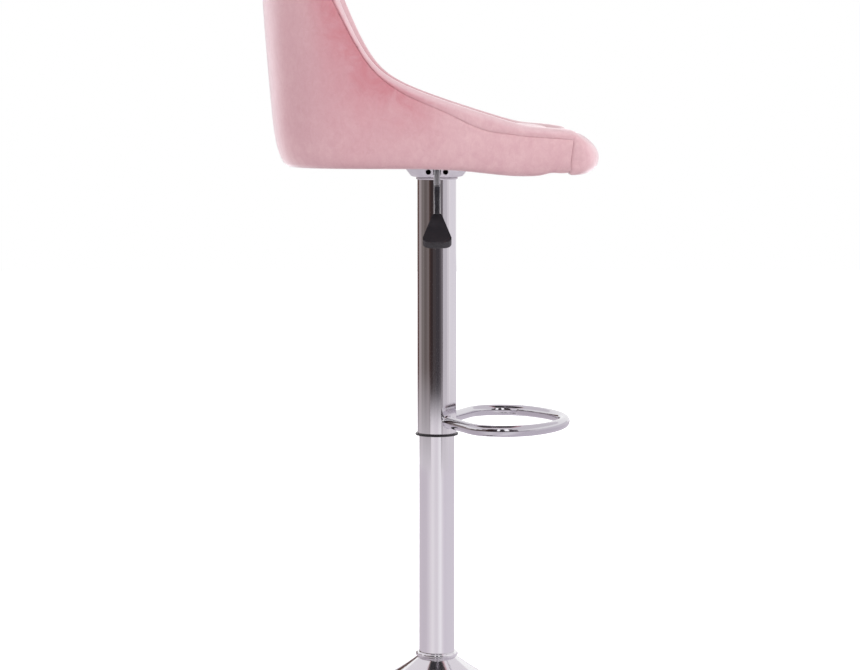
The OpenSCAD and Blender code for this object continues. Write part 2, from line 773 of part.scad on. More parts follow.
module mount_dish() {
    corner = 3;
    slot_half_w = lever_rod_r + 1;
    hole_z = dish_floor + 5.4;
    color(zinc)
    difference() {
        rotate_extrude()
        polygon([
            [socket_r + tight_fit, dish_bottom], [dish_bottom_r - corner, dish_bottom],
            [dish_bottom_r, dish_bottom + corner * 0.4], [dish_top_r - 1, plate_bottom],
            [dish_top_r - 1 - 1.4 * dish_sheet_t, plate_bottom],
            [dish_bottom_r - corner * 0.7, dish_floor], [socket_r + tight_fit, dish_floor]
        ]);
        translate([-slot_half_w, -dish_top_r - over, lever_z - lever_rod_r - 1])
        cube([2 * slot_half_w, dish_top_r - lever_pivot_offset - 4, plate_bottom + over - lever_z + lever_rod_r + 1]);
        for (s = [-1, 1])
            translate([s * dish_hole_offset, -lever_pivot_offset, hole_z])
            rotate([90, 0, 0]) cylinder(d = dish_hole_d, h = dish_top_r, $fn = 32);
    }
}

module lift_socket() {
    fit = tight_fit;
    top_drop = taper_drop * (dish_floor - socket_bottom) / (cylinder_top - socket_bottom);
    color(dark_steel)
    rotate_extrude()
    polygon([
        [cylinder_r + fit, socket_bottom], [socket_r, socket_bottom], [socket_r, dish_floor],
        [cylinder_r + fit - top_drop, dish_floor]
    ]);
}

module seat_plate() {
    corner_r = 14;
    half = plate_side / 2 - corner_r;
    color(dark_steel)
    difference() {
        translate([0, 0, plate_bottom])
        linear_extrude(plate_t)
        polygon(concat(
            arc([half, half], corner_r, 0, 90, 8), arc([-half, half], corner_r, 90, 180, 8),
            arc([-half, -half], corner_r, 180, 270, 8), arc([half, -half], corner_r, 270, 360, 8)
        ));
        for (p = screw_places)
            translate([p.x, p.y, plate_bottom - over]) cylinder(r = screw_r + 0.5, h = plate_t + 2 * over, $fn = 40);
    }
}

module seat_screws() {
    head_r = 1.7 * screw_r;
    bottom = plate_bottom - washer_t - screw_head_t;
    color(zinc)
    for (p = screw_places)
        translate([p.x, p.y, bottom])
        difference() {
            union() {
                rotate_extrude($fn = 40)
                polygon([[0, 0], [head_r - 1, 0], [head_r, 1], [head_r, screw_head_t], [0, screw_head_t]]);
                translate([0, 0, screw_head_t]) cylinder(r = screw_r, h = washer_t + plate_t + board_t - 1, $fn = 40);
            }
            translate([0, 0, -over]) cylinder(r = 0.55 * screw_r, h = over + 1.6, $fn = 6);
        }
}

module screw_washers() {
    color(zinc)
    for (p = screw_places)
        translate([p.x, p.y, plate_bottom - washer_t]) pipe(2.2 * screw_r, screw_r + 0.3, washer_t);
}

module tee_nuts() {
    color(zinc)
    for (p = screw_places)
        translate([p.x, p.y, board_bottom + 2])
        difference() {
            union() {
                cylinder(r = tee_barrel_r, h = board_t - 2, $fn = 40);
                translate([0, 0, board_t - 2 - tee_flange_t]) cylinder(r = tee_flange_r, h = tee_flange_t, $fn = 40);
            }
            translate([0, 0, -over]) cylinder(r = screw_r + tight_fit, h = board_t + 2 * over, $fn = 40);
        }
}

// Two ears on a foot, which hold the lever's pin inside the dish
module lever_bracket() {
    ear_top = lever_z + pivot_pin_d / 2 + 1.6;
    ear_x = bracket_half_gap;
    y = -lever_pivot_offset;
    color(dark_steel)
    difference() {
        union() {
            for (s = [0, 1]) mirror([s, 0, 0]) {
                translate([ear_x, y - bracket_half_l / 2, dish_floor])
                cube([bracket_t, bracket_half_l, ear_top - dish_floor]);
                translate([ear_x, y - bracket_half_l / 2, dish_floor]) cube([6, bracket_half_l, 1]);
            }
        }
        translate([0, y, lever_z])
        rotate([0, 90, 0])
        cylinder(d = pivot_pin_d + 2 * tight_fit, h = 60, center = true, $fn = 32);
    }
}

module lever_pin() {
    half = bracket_half_gap + bracket_t + 1.5;
    color(zinc)
    translate([-half, -lever_pivot_offset, lever_z])
    rotate([0, 90, 0])
    cylinder(d = pivot_pin_d, h = 2 * half, $fn = 32);
}

// Rod of the height lever: a flattened inner arm over the valve, a pivot hole and a bent outer part
module lever_rod() {
    bend_y = lever_bend_offset - bend_tangent;
    slope_y = bend_y + lever_bend_r * sin(lever_slope);
    slope_z = lever_z - lever_bend_r * (1 - cos(lever_slope));
    color(chrome)
    difference() {
        union() {
            translate([-lever_rod_r + 0.5, -arm_start - 2, arm_z - arm_half_h])
            cube([lever_rod_d - 1, arm_start + 2 + arm_reach, 2 * arm_half_h]);
            translate([0, -arm_start, lever_z])
            rotate([90, 0, 0])
            cylinder(r = lever_rod_r, h = bend_y - arm_start + lap, $fn = 40);
            translate([0, -bend_y, lever_z - lever_bend_r])
            rotate([180, -90, 0])
            rotate_extrude(angle = lever_slope)
            translate([lever_bend_r, 0]) circle(r = lever_rod_r - lap_step, $fn = 40);
            translate([0, -slope_y, slope_z])
            rotate([90 + lever_slope, 0, 0])
            translate([0, 0, -lap])
            cylinder(r = lever_rod_r, h = lever_slope_length - bend_tangent + handle_socket + lap, $fn = 40);
        }
        translate([0, -lever_pivot_offset, lever_z])
        rotate([0, 90, 0])
        cylinder(d = pivot_pin_d + 2 * slide_fit, h = 2 * lever_rod_d, center = true, $fn = 32);
    }
}

// Flat handle that widens away from the rod, with rounded corners and a bowed end
module lever_handle() {
    neck_r = 4;
    end_r = 8;
    wide_x = handle_length - end_r - 3;
    bow_r = handle_width * 1.3;
    bow_x = handle_length - bow_r;
    run = wide_x - neck_r;
    side = atan((handle_width / 2 - end_r - handle_neck_w / 2 + neck_r) / run);
    start = [0, -lever_bend_offset - lever_slope_length * cos(lever_slope),
        lever_z - lever_slope_length * sin(lever_slope)];
    half_outline = concat(
        [[0, 0]],
        arc([neck_r, handle_neck_w / 2 - neck_r], neck_r, 180, 90 + side, 6),
        arc([wide_x, handle_width / 2 - end_r], end_r, 90 + side, 20, 8)
    );
    mirrored = [for (i = [len(half_outline) - 1 : -1 : 1]) [half_outline[i].x, -half_outline[i].y]];
    color(black)
    translate(start)
    rotate([0, lever_slope, -90])
    difference() {
        intersection() {
            translate([0, 0, -handle_t / 2])
            linear_extrude(handle_t)
            intersection() {
                polygon(concat(half_outline, [[handle_length + 4, 0]], mirrored));
                translate([bow_x, 0]) circle(r = bow_r, $fn = 160);
            }
            translate([0, handle_width, 0])
            rotate([90, 0, 0])
            linear_extrude(2 * handle_width)
            polygon(concat(
                [[-over, -handle_t / 2 + 0.7], [-over, handle_t / 2 - 0.7], [wide_x, handle_t / 2]],
                arc([handle_length - 3, handle_t / 2 - 3], 3, 90, 0, 5),
                arc([handle_length - 4, -handle_t / 2 + 4], 4, 0, -90, 5)
            ));
        }
        translate([-over, 0, 0]) rotate([0, 90, 0]) cylinder(r = lever_rod_r + tight_fit, h = handle_socket + over + 1, $fn = 40);
    }
}

// Level outline inside the seat wall at height z and depth d, closed along the front
function floor_outline(z, d, front, steps) = concat(
    [for (i = [0 : steps]) let (p = wall(-1 + 2 * i / steps, z, d)) [min(p.x, front), p.y]]
);

module seat_board() {
    color(plywood)
    difference() {
        translate([0, 0, board_bottom])
        linear_extrude(board_t)
        polygon(floor_outline(board_bottom, pad_outer_d, seat_front - 1, 48));
        for (p = screw_places)
            translate([p.x, p.y, board_bottom - over]) {
                cylinder(r = tee_barrel_r + 0.05, h = board_t + 2 * over, $fn = 40);
                translate([0, 0, over + board_t - tee_flange_t - 0.05])
                cylinder(r = tee_flange_r + 0.2, h = tee_flange_t + over, $fn = 40);
            }
    }
}

module dust_cover() {
    color(black)
    difference() {
        translate([0, 0, plate_top])
        linear_extrude(dust_cover_t)
        polygon(floor_outline(board_bottom, pad_outer_d + 2, seat_front - 3, 48));
        for (p = screw_places)
            translate([p.x, p.y, plate_top - over]) cylinder(r = screw_r + 1, h = dust_cover_t + 2 * over, $fn = 40);
    }
}

// Moulded plywood shell between the outer panel and the padding
module bucket_shell() {
    color(plywood)
    skin([for (i = [0 : stations])
        let (u = station(i))
        concat(
            [for (k = [0 : shell_levels]) wall(u, shell_z(u, k), shell_outer_d)],
            [for (k = [shell_levels : -1 : 0]) wall(u, shell_z(u, k), shell_outer_d + shell_t)]
        )
    ]);
}

// Padded outer panel round the sides and the back, bowed out and drawn in to its seams
module outer_panel() {
    levels = 8;
    color(velvet)
    skin([for (i = [0 : stations])
        let (u = station(i), low = lower_edge(base_x(u)), high = seam(u) - seam_gap / 2)
        concat(
            [for (k = [0 : levels])
                let (s = pow(k / levels, 1.8), edge = pow(abs(2 * s - 1), 8))
                wall(u, mix(low, high, s), -panel_bulge * sin(180 * s) + seam_tuck * edge)],
            [wall(u, high, panel_t)],
            [for (k = [shell_levels : -1 : 0]) wall(u, shell_z(u, k), panel_t)],
            [wall(u, low, panel_t)]
        )
    ]);
}

// Padding of the arms and the backrest, rolled over the rim and down to the side seam
module inner_pad() {
    faces = 6;
    color(velvet_light)
    skin([for (i = [0 : stations])
        let (u = station(i), top = rim(u), low = seam(u) + seam_gap / 2)
        let (inner_top = pad_depth(u, top - rim_round), width = strip(u))
        concat(
            [wall(u, low + 0.25 * width, -rim_bulge), wall(u, low + 0.6 * width, -rim_bulge)],
            [for (q = rim_profile) wall(u, top - q[0] * rim_round, q[1] * inner_top)],
            [for (k = [faces : -1 : 0])
                let (z = mix(pad_bottom, top - 0.95 * rim_round, k / faces))
                wall(u, z, pad_depth(u, z))],
            [for (k = [0 : shell_levels])
                shell_side(u, max(shell_z(u, k), pad_bottom + k), pad_outer_d)],
            [wall(u, low, pad_outer_d), wall(u, low, panel_t), wall(u, low, seam_tuck)]
        )
    ]);
}

// Cushion on the board: drawn-in sides and a crown, with its front edge against the front roll
function cushion_ring(z, inset) =
    let (front = seat_front - soft_gap, steps = 40, across = 10)
    let (side = [for (i = [0 : steps])
        let (u = -1 + 2 * i / steps, p = wall(u, z, pad_depth(u, z) + cushion_gap + inset))
        [min(p.x, front - 0.5 * inset), p.y, z]])
    let (a = side[steps], b = side[0], rear = steps / 2)
    concat(
        [for (i = [rear : steps]) side[i]],
        [for (k = [1 : across - 1]) [a.x, mix(a.y, b.y, k / across), z]],
        [for (i = [0 : rear - 1]) side[i]]
    );

function cushion_top(x, s) =
    let (rise = cushion_h - 8 * ease((seat_front - x) / 330))
    board_top + rise + cushion_crown * (1 - s * s) - 9 * pow(s, 8);

module seat_cushion() {
    low = board_top + soft_gap;
    waist = low + 0.4 * cushion_h;
    brim = low + 0.62 * cushion_h;
    rim_ring = cushion_ring(brim, 0.5);
    shares = [0.02, 0.2, 0.4, 0.6, 0.76, 0.88, 0.95, 0.985];
    color(velvet)
    skin(concat(
        [for (s = shares)
            [for (p = rim_ring) let (x = p.x * s, y = p.y * s) [x, y, cushion_top(x, s)]]],
        [rim_ring, cushion_ring(waist, 3), cushion_ring(low + 4, 1), cushion_ring(low, 5)]
    ));
}

// Front roll: level slices that swell to the nose and close at the top and the bottom
module front_roll() {
    top = arm_z_at(seat_front);
    bottom = plate_bottom - roll_hang;
    nose_z = mix(bottom, top, 0.42);
    around = 30;
    back_x = seat_front + soft_gap;
    side_w = seat_half_w - front_taper;
    heights = [0, 0.04, 0.12, 0.25, 0.42, 0.6, 0.75, 0.86, 0.94, 0.985, 1];
    color(velvet)
    skin([for (h = heights)
        let (z = mix(bottom + 0.3, top - 0.3, h))
        let (rel = z > nose_z ? (z - nose_z) / (top - nose_z) : (nose_z - z) / (nose_z - bottom))
        let (power = z > nose_z ? 1.6 : 2.7)
        let (reach = roll_depth * pow(1 - pow(rel, power), 1 / power))
        let (round_off = 16 * (1 - sqrt(1 - pow(clamp01((z - (top - rim_round)) / rim_round), 2))))
        let (half = side_w + lean(z, side_lean) - 0.8 * tuck(z - bottom) - round_off)
        [for (i = [0 : around])
            let (t = -90 + 180 * i / around)
            let (r = 1 / pow(pow(abs(cos(t)), 3.4) + pow(abs(sin(t)), 3.4), 1 / 3.4))
            [back_x + reach * r * max(0, cos(t)), half * r * sin(t), z]]
    ]);
}

base_shell();
floor_ring();
hub_plate();
hub_screws();
pole();
pole_foot();
pole_collar();
guide_sleeve();
bearing_buffer();
lower_race();
bearing_balls();
upper_race();
piston_rod();
piston();
rod_washer();
rod_clip();
gas_cylinder();
rod_gland();
valve_pin();
outer_tube();
tube_bushing();
tube_cap();
footrest_ring();
mount_dish();
lift_socket();
seat_plate();
seat_screws();
screw_washers();
tee_nuts();
lever_bracket();
lever_pin();
lever_rod();
lever_handle();
seat_board();
dust_cover();
bucket_shell();
outer_panel();
inner_pad();
seat_cushion();
front_roll();
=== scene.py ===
"""Velvet bucket bar stool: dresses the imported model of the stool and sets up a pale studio."""
import math
import random
from types import SimpleNamespace

import bmesh
import bpy
import numpy as np
from bpy.props import FloatProperty, FloatVectorProperty, PointerProperty
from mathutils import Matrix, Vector


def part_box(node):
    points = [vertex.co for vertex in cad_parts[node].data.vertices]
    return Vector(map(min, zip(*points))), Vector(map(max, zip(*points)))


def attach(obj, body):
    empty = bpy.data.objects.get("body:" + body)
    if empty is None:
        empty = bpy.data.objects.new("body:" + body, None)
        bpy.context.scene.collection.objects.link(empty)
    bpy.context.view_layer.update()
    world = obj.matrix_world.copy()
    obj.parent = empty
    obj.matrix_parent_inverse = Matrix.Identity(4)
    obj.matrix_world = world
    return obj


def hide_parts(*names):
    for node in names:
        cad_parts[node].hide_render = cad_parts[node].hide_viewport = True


bl_info = {
    "name": "Velvet bar stool",
    "version": (1, 0, 0),
    "blender": (4, 5, 0),
    "location": "3D View > Sidebar > Bar stool",
    "description": "Dresses a gas lift bar stool in velvet, chrome and black plastic",
    "category": "Object",
}

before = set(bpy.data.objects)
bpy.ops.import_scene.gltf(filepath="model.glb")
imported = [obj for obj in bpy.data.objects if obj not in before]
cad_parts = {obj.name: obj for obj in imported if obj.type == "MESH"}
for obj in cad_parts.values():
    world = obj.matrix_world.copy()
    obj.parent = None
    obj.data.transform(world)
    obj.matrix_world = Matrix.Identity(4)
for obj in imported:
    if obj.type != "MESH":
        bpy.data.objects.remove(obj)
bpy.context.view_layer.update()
MM = 0.001


def srgb(red, green, blue):
    """Linear colour of an sRGB colour given in 0 to 255."""
    return tuple(((c / 255 + 0.055) / 1.055) ** 2.4 if c > 10 else c / 255 / 12.92 for c in (red, green, blue))


# The seat's fixed shape, in millimetres, as in the CAD model

PLATE_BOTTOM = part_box("seat_plate")[0].z / MM
BOARD_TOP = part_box("seat_board")[1].z / MM
EDGE_Z = PLATE_BOTTOM - 0.4  # lower edge of the bucket
PAD_BOTTOM = BOARD_TOP + 0.4  # lower end of the padding
BACK_CENTRE = 60.0  # centre of the rounded back, behind the column
REAR_SHARE = 0.56  # share of the stations that lie round the back
PAD_OUTER_D = 18.8  # depth of the padding's back under the outer surface
RIM_ROUND = 17.0  # radius of the rim's roll
TUCK_POWER = 2.3  # roundness of the drawn-in lower edge
SIDE_TUCK = 0.8  # share of the tuck that the sides take
EDGE_LOW_X, EDGE_LOW_REACH = 118.0, 75.0  # where the lower edge hangs lowest, and over what length
ARM_DROP_X = 110.0  # where the arms begin to drop toward the roll
ARM_BLEND, WING_BLEND, TOP_BLEND = 4.5, 67.0, 30.0  # roundings of the rim line
STRIP_WING_X, STRIP_ARM_X = -90.0, -20.0  # where the rim strip grows from its wing to its arm height
SEAM_DIP_X, SEAM_DIP_REACH = 60.0, 42.0  # where the side seam dips, and over what length
ARM_SWELL, BACK_SWELL = 2.0, 8.0  # how far the padding swells out half way up, and the back more


def length(name, description, default, low, high):
    """A length property, from numbers in millimetres."""
    return FloatProperty(name=name, description=description, default=default * MM, min=low * MM, max=high * MM,
                         precision=4, unit="LENGTH")


class SeatSizes(bpy.types.PropertyGroup):
    """Sizes of the bucket seat."""
    seat_rear: length("Seat rear", "Reach behind the column", 227, 220, 238)
    seat_half_w: length("Half width", "Half of the width at the arms", 205, 195, 215)
    seat_front: length("Seat front", "Reach to the front roll", 180, 172, 190)
    roll_depth: length("Roll depth", "How far the front roll stands out", 42, 38, 48)
    roll_hang: length("Roll hang", "How far the roll hangs under the plate", 9.5, 7, 12)
    back_rise: length("Back rise", "Top of the back above the plate", 307, 290, 320)
    arm_rise: length("Arm rise", "Level front part of the arms above the plate", 52, 50, 56)
    arm_slope: FloatProperty(
        name="Arm slope", description="Slope of the arms behind their level part",
        default=0.3, min=0.28, max=0.34, subtype="FACTOR")
    arm_level_x: length("Arm level start", "Where the arms become level", 121, 114, 128)
    arm_drop: length("Arm drop", "Drop of the arms toward the roll", 3, 1, 5)
    wing_steepness: FloatProperty(
        name="Wing steepness", description="Slope of the wings",
        default=2.4, min=2.2, max=2.6, subtype="FACTOR")
    wing_start: length("Wing start", "Where the wings' slope meets the arms' level", 66, 60, 72)
    back_lean: FloatProperty(
        name="Back lean", description="Lean of the back",
        default=math.radians(4.3), min=math.radians(2), max=math.radians(6), subtype="ANGLE")
    side_lean: FloatProperty(
        name="Side lean", description="Lean of the sides",
        default=math.radians(2), min=0, max=math.radians(4), subtype="ANGLE")
    tuck_depth: length("Tuck depth", "How far the lower edge is drawn in", 13, 9, 18)
    tuck_height: length("Tuck height", "Height of the drawn-in edge", 69, 58, 78)
    edge_drop: length("Edge drop", "Drop of the lower edge near the front", 10, 7, 11)
    squareness: FloatProperty(
        name="Back squareness", description="Squareness of the plan outline",
        default=3.0, min=2.6, max=3.2, subtype="FACTOR")
    front_taper: length("Front taper", "Taper of the half width to the front", 15, 8, 20)
    arm_pad: length("Arm padding", "Padding on the arms", 24, 20, 28)
    back_pad: length("Back padding", "Extra padding on the back", 12, 8, 16)
    rim_thinning: length("Rim thinning", "How much thinner the padding gets toward the rim", 16, 12, 20)
    wing_strip: length("Wing strip", "Height of the rim strip along the wings", 8, 6, 10)
    rim_strip: length("Rim strip", "Height of the rim strip above the side seam", 12, 10, 14)
    seam_dip: length("Seam dip", "Extra strip width where the seam dips", 8.5, 4, 10)
    rim_bulge: length("Rim bulge", "How far the rim stands out", 2.5, 1.5, 4)
    pucker: length("Pucker", "Depth of the puckers at the front seam", 0.7, 0, 2)


class VelvetLook(bpy.types.PropertyGroup):
    """Colours of the velvet."""
    pile: FloatVectorProperty(
        name="Pile", description="Main colour of the pile",
        default=srgb(200, 167, 171), min=0, max=1, subtype="COLOR")
    pile_grey: FloatVectorProperty(
        name="Brushed pile", description="Greyer brushed patches",
        default=srgb(187, 150, 156), min=0, max=1, subtype="COLOR")
    # Colour of the painted shade under the rim, also of the darker flecks in the pile
    pile_red: FloatVectorProperty(
        name="Deep pile", description="Deeper colour under the rim",
        default=srgb(180, 119, 127), min=0, max=1, subtype="COLOR")
    # Colour of the painted light and sheen on the rim, the front and the edges
    pile_pale: FloatVectorProperty(
        name="Light pile", description="Lighter pile on the rim",
        default=srgb(206, 180, 185), min=0, max=1, subtype="COLOR")


class StudioLook(bpy.types.PropertyGroup):
    """Light level and camera of the studio."""
    world_level: FloatProperty(
        name="World level", description="Strength of the even light",
        default=0.62, min=0.2, max=1, subtype="FACTOR")
    key_level: FloatProperty(
        name="Key level", description="Power that all lamps are multiples of",
        default=30.0, min=0, max=200, unit="POWER")
    lens: FloatProperty(
        name="Lens", description="Focal length", default=117.77, min=35, max=200, unit="CAMERA")
    tilt: FloatProperty(
        name="Tilt", description="Downward tilt of the camera", default=math.radians(4.404), subtype="ANGLE")


def smooth_max(a, b, k):
    """The larger of two numbers, rounded over k where they meet."""
    return (a + b + np.sqrt((a - b) ** 2 + k * k)) / 2


def smooth_min(a, b, k):
    """The smaller of two numbers, rounded over k where they meet."""
    return (a + b - np.sqrt((a - b) ** 2 + k * k)) / 2


def smooth_step(value, start, end):
    """Rises smoothly from 0 where the value is start to 1 where it is end."""
    share = np.clip((value - start) / (end - start), 0, 1)
    return share * share * (3 - 2 * share)


def hump(value, centre, width):
    """Bell curve that is 1 at the centre."""
    return np.exp(-((value - centre) / width) ** 2)


def plain_sizes(group):
    """A property group's numbers, with lengths in millimetres."""
    sizes = SimpleNamespace()
    for prop in group.bl_rna.properties:
        if prop.type == "FLOAT":
            value = getattr(group, prop.identifier)
            setattr(sizes, prop.identifier, round(value / MM, 4) if prop.unit == "LENGTH" else value)
    return sizes


class SeatForm:
    """The seat wall's formulas, in millimetres, for arrays of stations.

    A station u lies along the wall's plan outline: 0 is the middle of the back, -1 and 1 are the front ends.
    """

    def __init__(self, seat_sizes):
        self.s = plain_sizes(seat_sizes)
        self.rim_top = PLATE_BOTTOM + self.s.back_rise
        self.arm_low = PLATE_BOTTOM + self.s.arm_rise

    def lower_edge(self, x):
        return EDGE_Z - self.s.edge_drop * hump(x, EDGE_LOW_X, EDGE_LOW_REACH)

    def tuck(self, height):
        """How far the wall is drawn in at a height above its lower edge."""
        share = np.clip((self.s.tuck_height - height) / self.s.tuck_height, 0, 1)
        return self.s.tuck_depth * (1 - np.maximum(0, 1 - share ** TUCK_POWER) ** (1 / TUCK_POWER))

    def round_back(self, u, reach, half):
        """Reach and half width of the rounded back at its stations, from its centre."""
        t = np.radians(90 * np.minimum(1, np.abs(u) / REAR_SHARE))
        cos, sin, n = np.cos(t).clip(0), np.sin(t), self.s.squareness
        r = 1 / ((cos / reach) ** n + (sin / half) ** n) ** (1 / n)
        return r * cos, r * sin

    def outline(self, u, rear, half):
        """Plan outline of the wall."""
        along = np.clip((np.abs(u) - REAR_SHARE) / (1 - REAR_SHARE), 0, 1)
        back_x, back_y = self.round_back(u, rear - BACK_CENTRE, half)
        x = np.where(along > 0, -BACK_CENTRE + (self.s.seat_front + BACK_CENTRE) * along, -BACK_CENTRE - back_x)
        y = np.where(along > 0, half - self.s.front_taper * along * along, back_y)
        return x, np.sign(u) * y

    def plan(self, u):
        """The outline without tuck or lean."""
        return self.outline(u, self.s.seat_rear, self.s.seat_half_w)

    def inward(self, u):
        """Level direction into the wall."""
        a, b, n = self.s.seat_rear - BACK_CENTRE, self.s.seat_half_w, self.s.squareness
        back_x, back_y = self.round_back(u, a, b)
        gx, gy = (back_x / a) ** (n - 1) / a, (back_y / b) ** (n - 1) / b
        size = np.hypot(gx, gy)
        side = np.abs(u) > REAR_SHARE
        return np.where(side, 0, gx / size), np.where(side, -np.sign(u), -np.sign(u) * gy / size)

    def wall(self, u, z, d):
        """Points at station u, height z and depth d under the outer surface."""
        u, z, d = np.broadcast_arrays(np.asarray(u, float), np.asarray(z, float), np.asarray(d, float))
        drawn = self.tuck(z - self.lower_edge(self.plan(u)[0]))
        rise = z - EDGE_Z - self.s.tuck_height
        x, y = self.outline(u, self.s.seat_rear + rise * math.tan(self.s.back_lean) - drawn,
                            self.s.seat_half_w + rise * math.tan(self.s.side_lean) - SIDE_TUCK * drawn)
        nx, ny = self.inward(u)
        return np.stack([x + nx * d, y + ny * d, z], -1)

    def arm_z(self, x):
        """Height of the arms' rim."""
        run = np.maximum(0, x - ARM_DROP_X) / (self.s.seat_front - ARM_DROP_X)
        level = self.arm_low - self.s.arm_drop * run ** 2
        return smooth_max(level, self.arm_low + self.s.arm_slope * (self.s.arm_level_x - x), ARM_BLEND)

    def rim(self, u):
        """Height of the rim: arms, wings and back."""
        x = self.plan(u)[0]
        wing = self.arm_low + self.s.wing_steepness * (-self.s.wing_start - x)
        return smooth_min(smooth_max(self.arm_z(x), wing, WING_BLEND), self.rim_top, TOP_BLEND)

    def strip(self, u):
        """Height of the rim strip above the side seam."""
        x = self.plan(u)[0]
        growth = (self.s.rim_strip - self.s.wing_strip) * smooth_step(x, STRIP_WING_X, STRIP_ARM_X)
        return self.s.wing_strip + growth + self.s.seam_dip * hump(x, SEAM_DIP_X, SEAM_DIP_REACH)

    def seam(self, u):
        """Height of the side seam."""
        return self.rim(u) - self.strip(u)

    def pad_depth(self, u, z):
        """Depth of the padding's inner face under the outer surface."""
        back = 1 - smooth_step(np.abs(u), 0.15, 0.65)
        share = np.clip((z - PAD_BOTTOM) / (self.rim(u) - PAD_BOTTOM), 0, 1)
        full = PAD_OUTER_D + self.s.arm_pad + self.s.back_pad * back
        swell = (ARM_SWELL + BACK_SWELL * back) * np.sin(np.pi * share)
        return full + swell - self.s.rim_thinning * share ** 3


def ripple(x, y, z, scale, seed, waves=6):
    """Smooth wavy noise from a few sines, between about -1 and 1."""
    rng = random.Random(seed)
    total = np.zeros(np.broadcast(x, y, z).shape)
    for _ in range(waves):
        kx, ky, kz = (rng.uniform(-1, 1) * scale for _ in range(3))
        total += np.sin(kx * x + ky * y + kz * z + rng.uniform(0, 6.28))
    return total / 3.5


def stations(count, crowding=1.25):
    """Stations along the seat wall, closer together near the two front ends."""
    t = np.linspace(-1, 1, count)
    return np.sign(t) * (1 - (1 - np.abs(t)) ** crowding)


def resample(points, count, steps=12):
    """Points spread evenly along a smooth curve through the given rows of points (rows, n, 3)."""
    rows, n, _ = points.shape
    before, after = 2 * points[:, :1] - points[:, 1:2], 2 * points[:, -1:] - points[:, -2:-1]
    padded = np.concatenate([before, points, after], 1)
    fine = []
    for i in range(n - 1):
        p0, p1, p2, p3 = (padded[:, i + k] for k in range(4))
        for t in np.linspace(0, 1, steps, endpoint=False):
            fine.append(0.5 * (2 * p1 + (p2 - p0) * t + (2 * p0 - 5 * p1 + 4 * p2 - p3) * t * t
                               + (3 * p1 - p0 - 3 * p2 + p3) * t ** 3))
    fine = np.stack(fine + [points[:, -1]], 1)
    lengths = np.linalg.norm(np.diff(fine, axis=1), axis=2)
    run = np.concatenate([np.zeros((rows, 1)), np.cumsum(lengths, 1)], 1)
    out = np.empty((rows, count, 3))
    for r in range(rows):
        want = np.linspace(0, run[r, -1], count)
        for c in range(3):
            out[r, :, c] = np.interp(want, run[r], fine[r, :, c])
    return out


def closed_loft(rings):
    """Vertices and faces of a closed tube through rings (stations, points, 3), with both ends capped."""
    n_st, n_pt, _ = rings.shape
    faces = []
    for i in range(n_st - 1):
        for j in range(n_pt):
            k = (j + 1) % n_pt
            faces.append((i * n_pt + j, (i + 1) * n_pt + j, (i + 1) * n_pt + k, i * n_pt + k))
    faces.append(tuple(range(n_pt)))
    faces.append(tuple((n_st - 1) * n_pt + j for j in reversed(range(n_pt))))
    return rings.reshape(-1, 3), faces


def add_object(name, data):
    """A new object in the scene."""
    thing = bpy.data.objects.new(name, data)
    bpy.context.scene.collection.objects.link(thing)
    return thing


def shade_smooth(mesh):
    mesh.polygons.foreach_set("use_smooth", [True] * len(mesh.polygons))


def give_material(mesh, material):
    """Makes this the mesh's only material."""
    mesh.materials.clear()
    mesh.materials.append(material)


def new_piece(name, points, faces, material, body):
    """A closed mesh piece from points in millimetres, riding on a body, with its faces turned outward."""
    mesh = bpy.data.meshes.new(name)
    mesh.from_pydata((np.asarray(points) * MM).tolist(), [], faces)
    mesh.validate()
    mesh.update()
    piece = add_object(name, mesh)
    give_material(mesh, material)
    shade_smooth(mesh)
    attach(piece, body)
    shell = bmesh.new()
    shell.from_mesh(mesh)
    bmesh.ops.recalc_face_normals(shell, faces=shell.faces)
    shell.to_mesh(mesh)
    shell.free()
    return piece


def apply_modifiers(piece):
    """Replaces the piece's mesh by the result of its modifiers."""
    graph = bpy.context.evaluated_depsgraph_get()
    mesh = bpy.data.meshes.new_from_object(piece.evaluated_get(graph))
    piece.modifiers.clear()
    old, piece.data = piece.data, mesh
    bpy.data.meshes.remove(old)
    shade_smooth(mesh)


# Materials

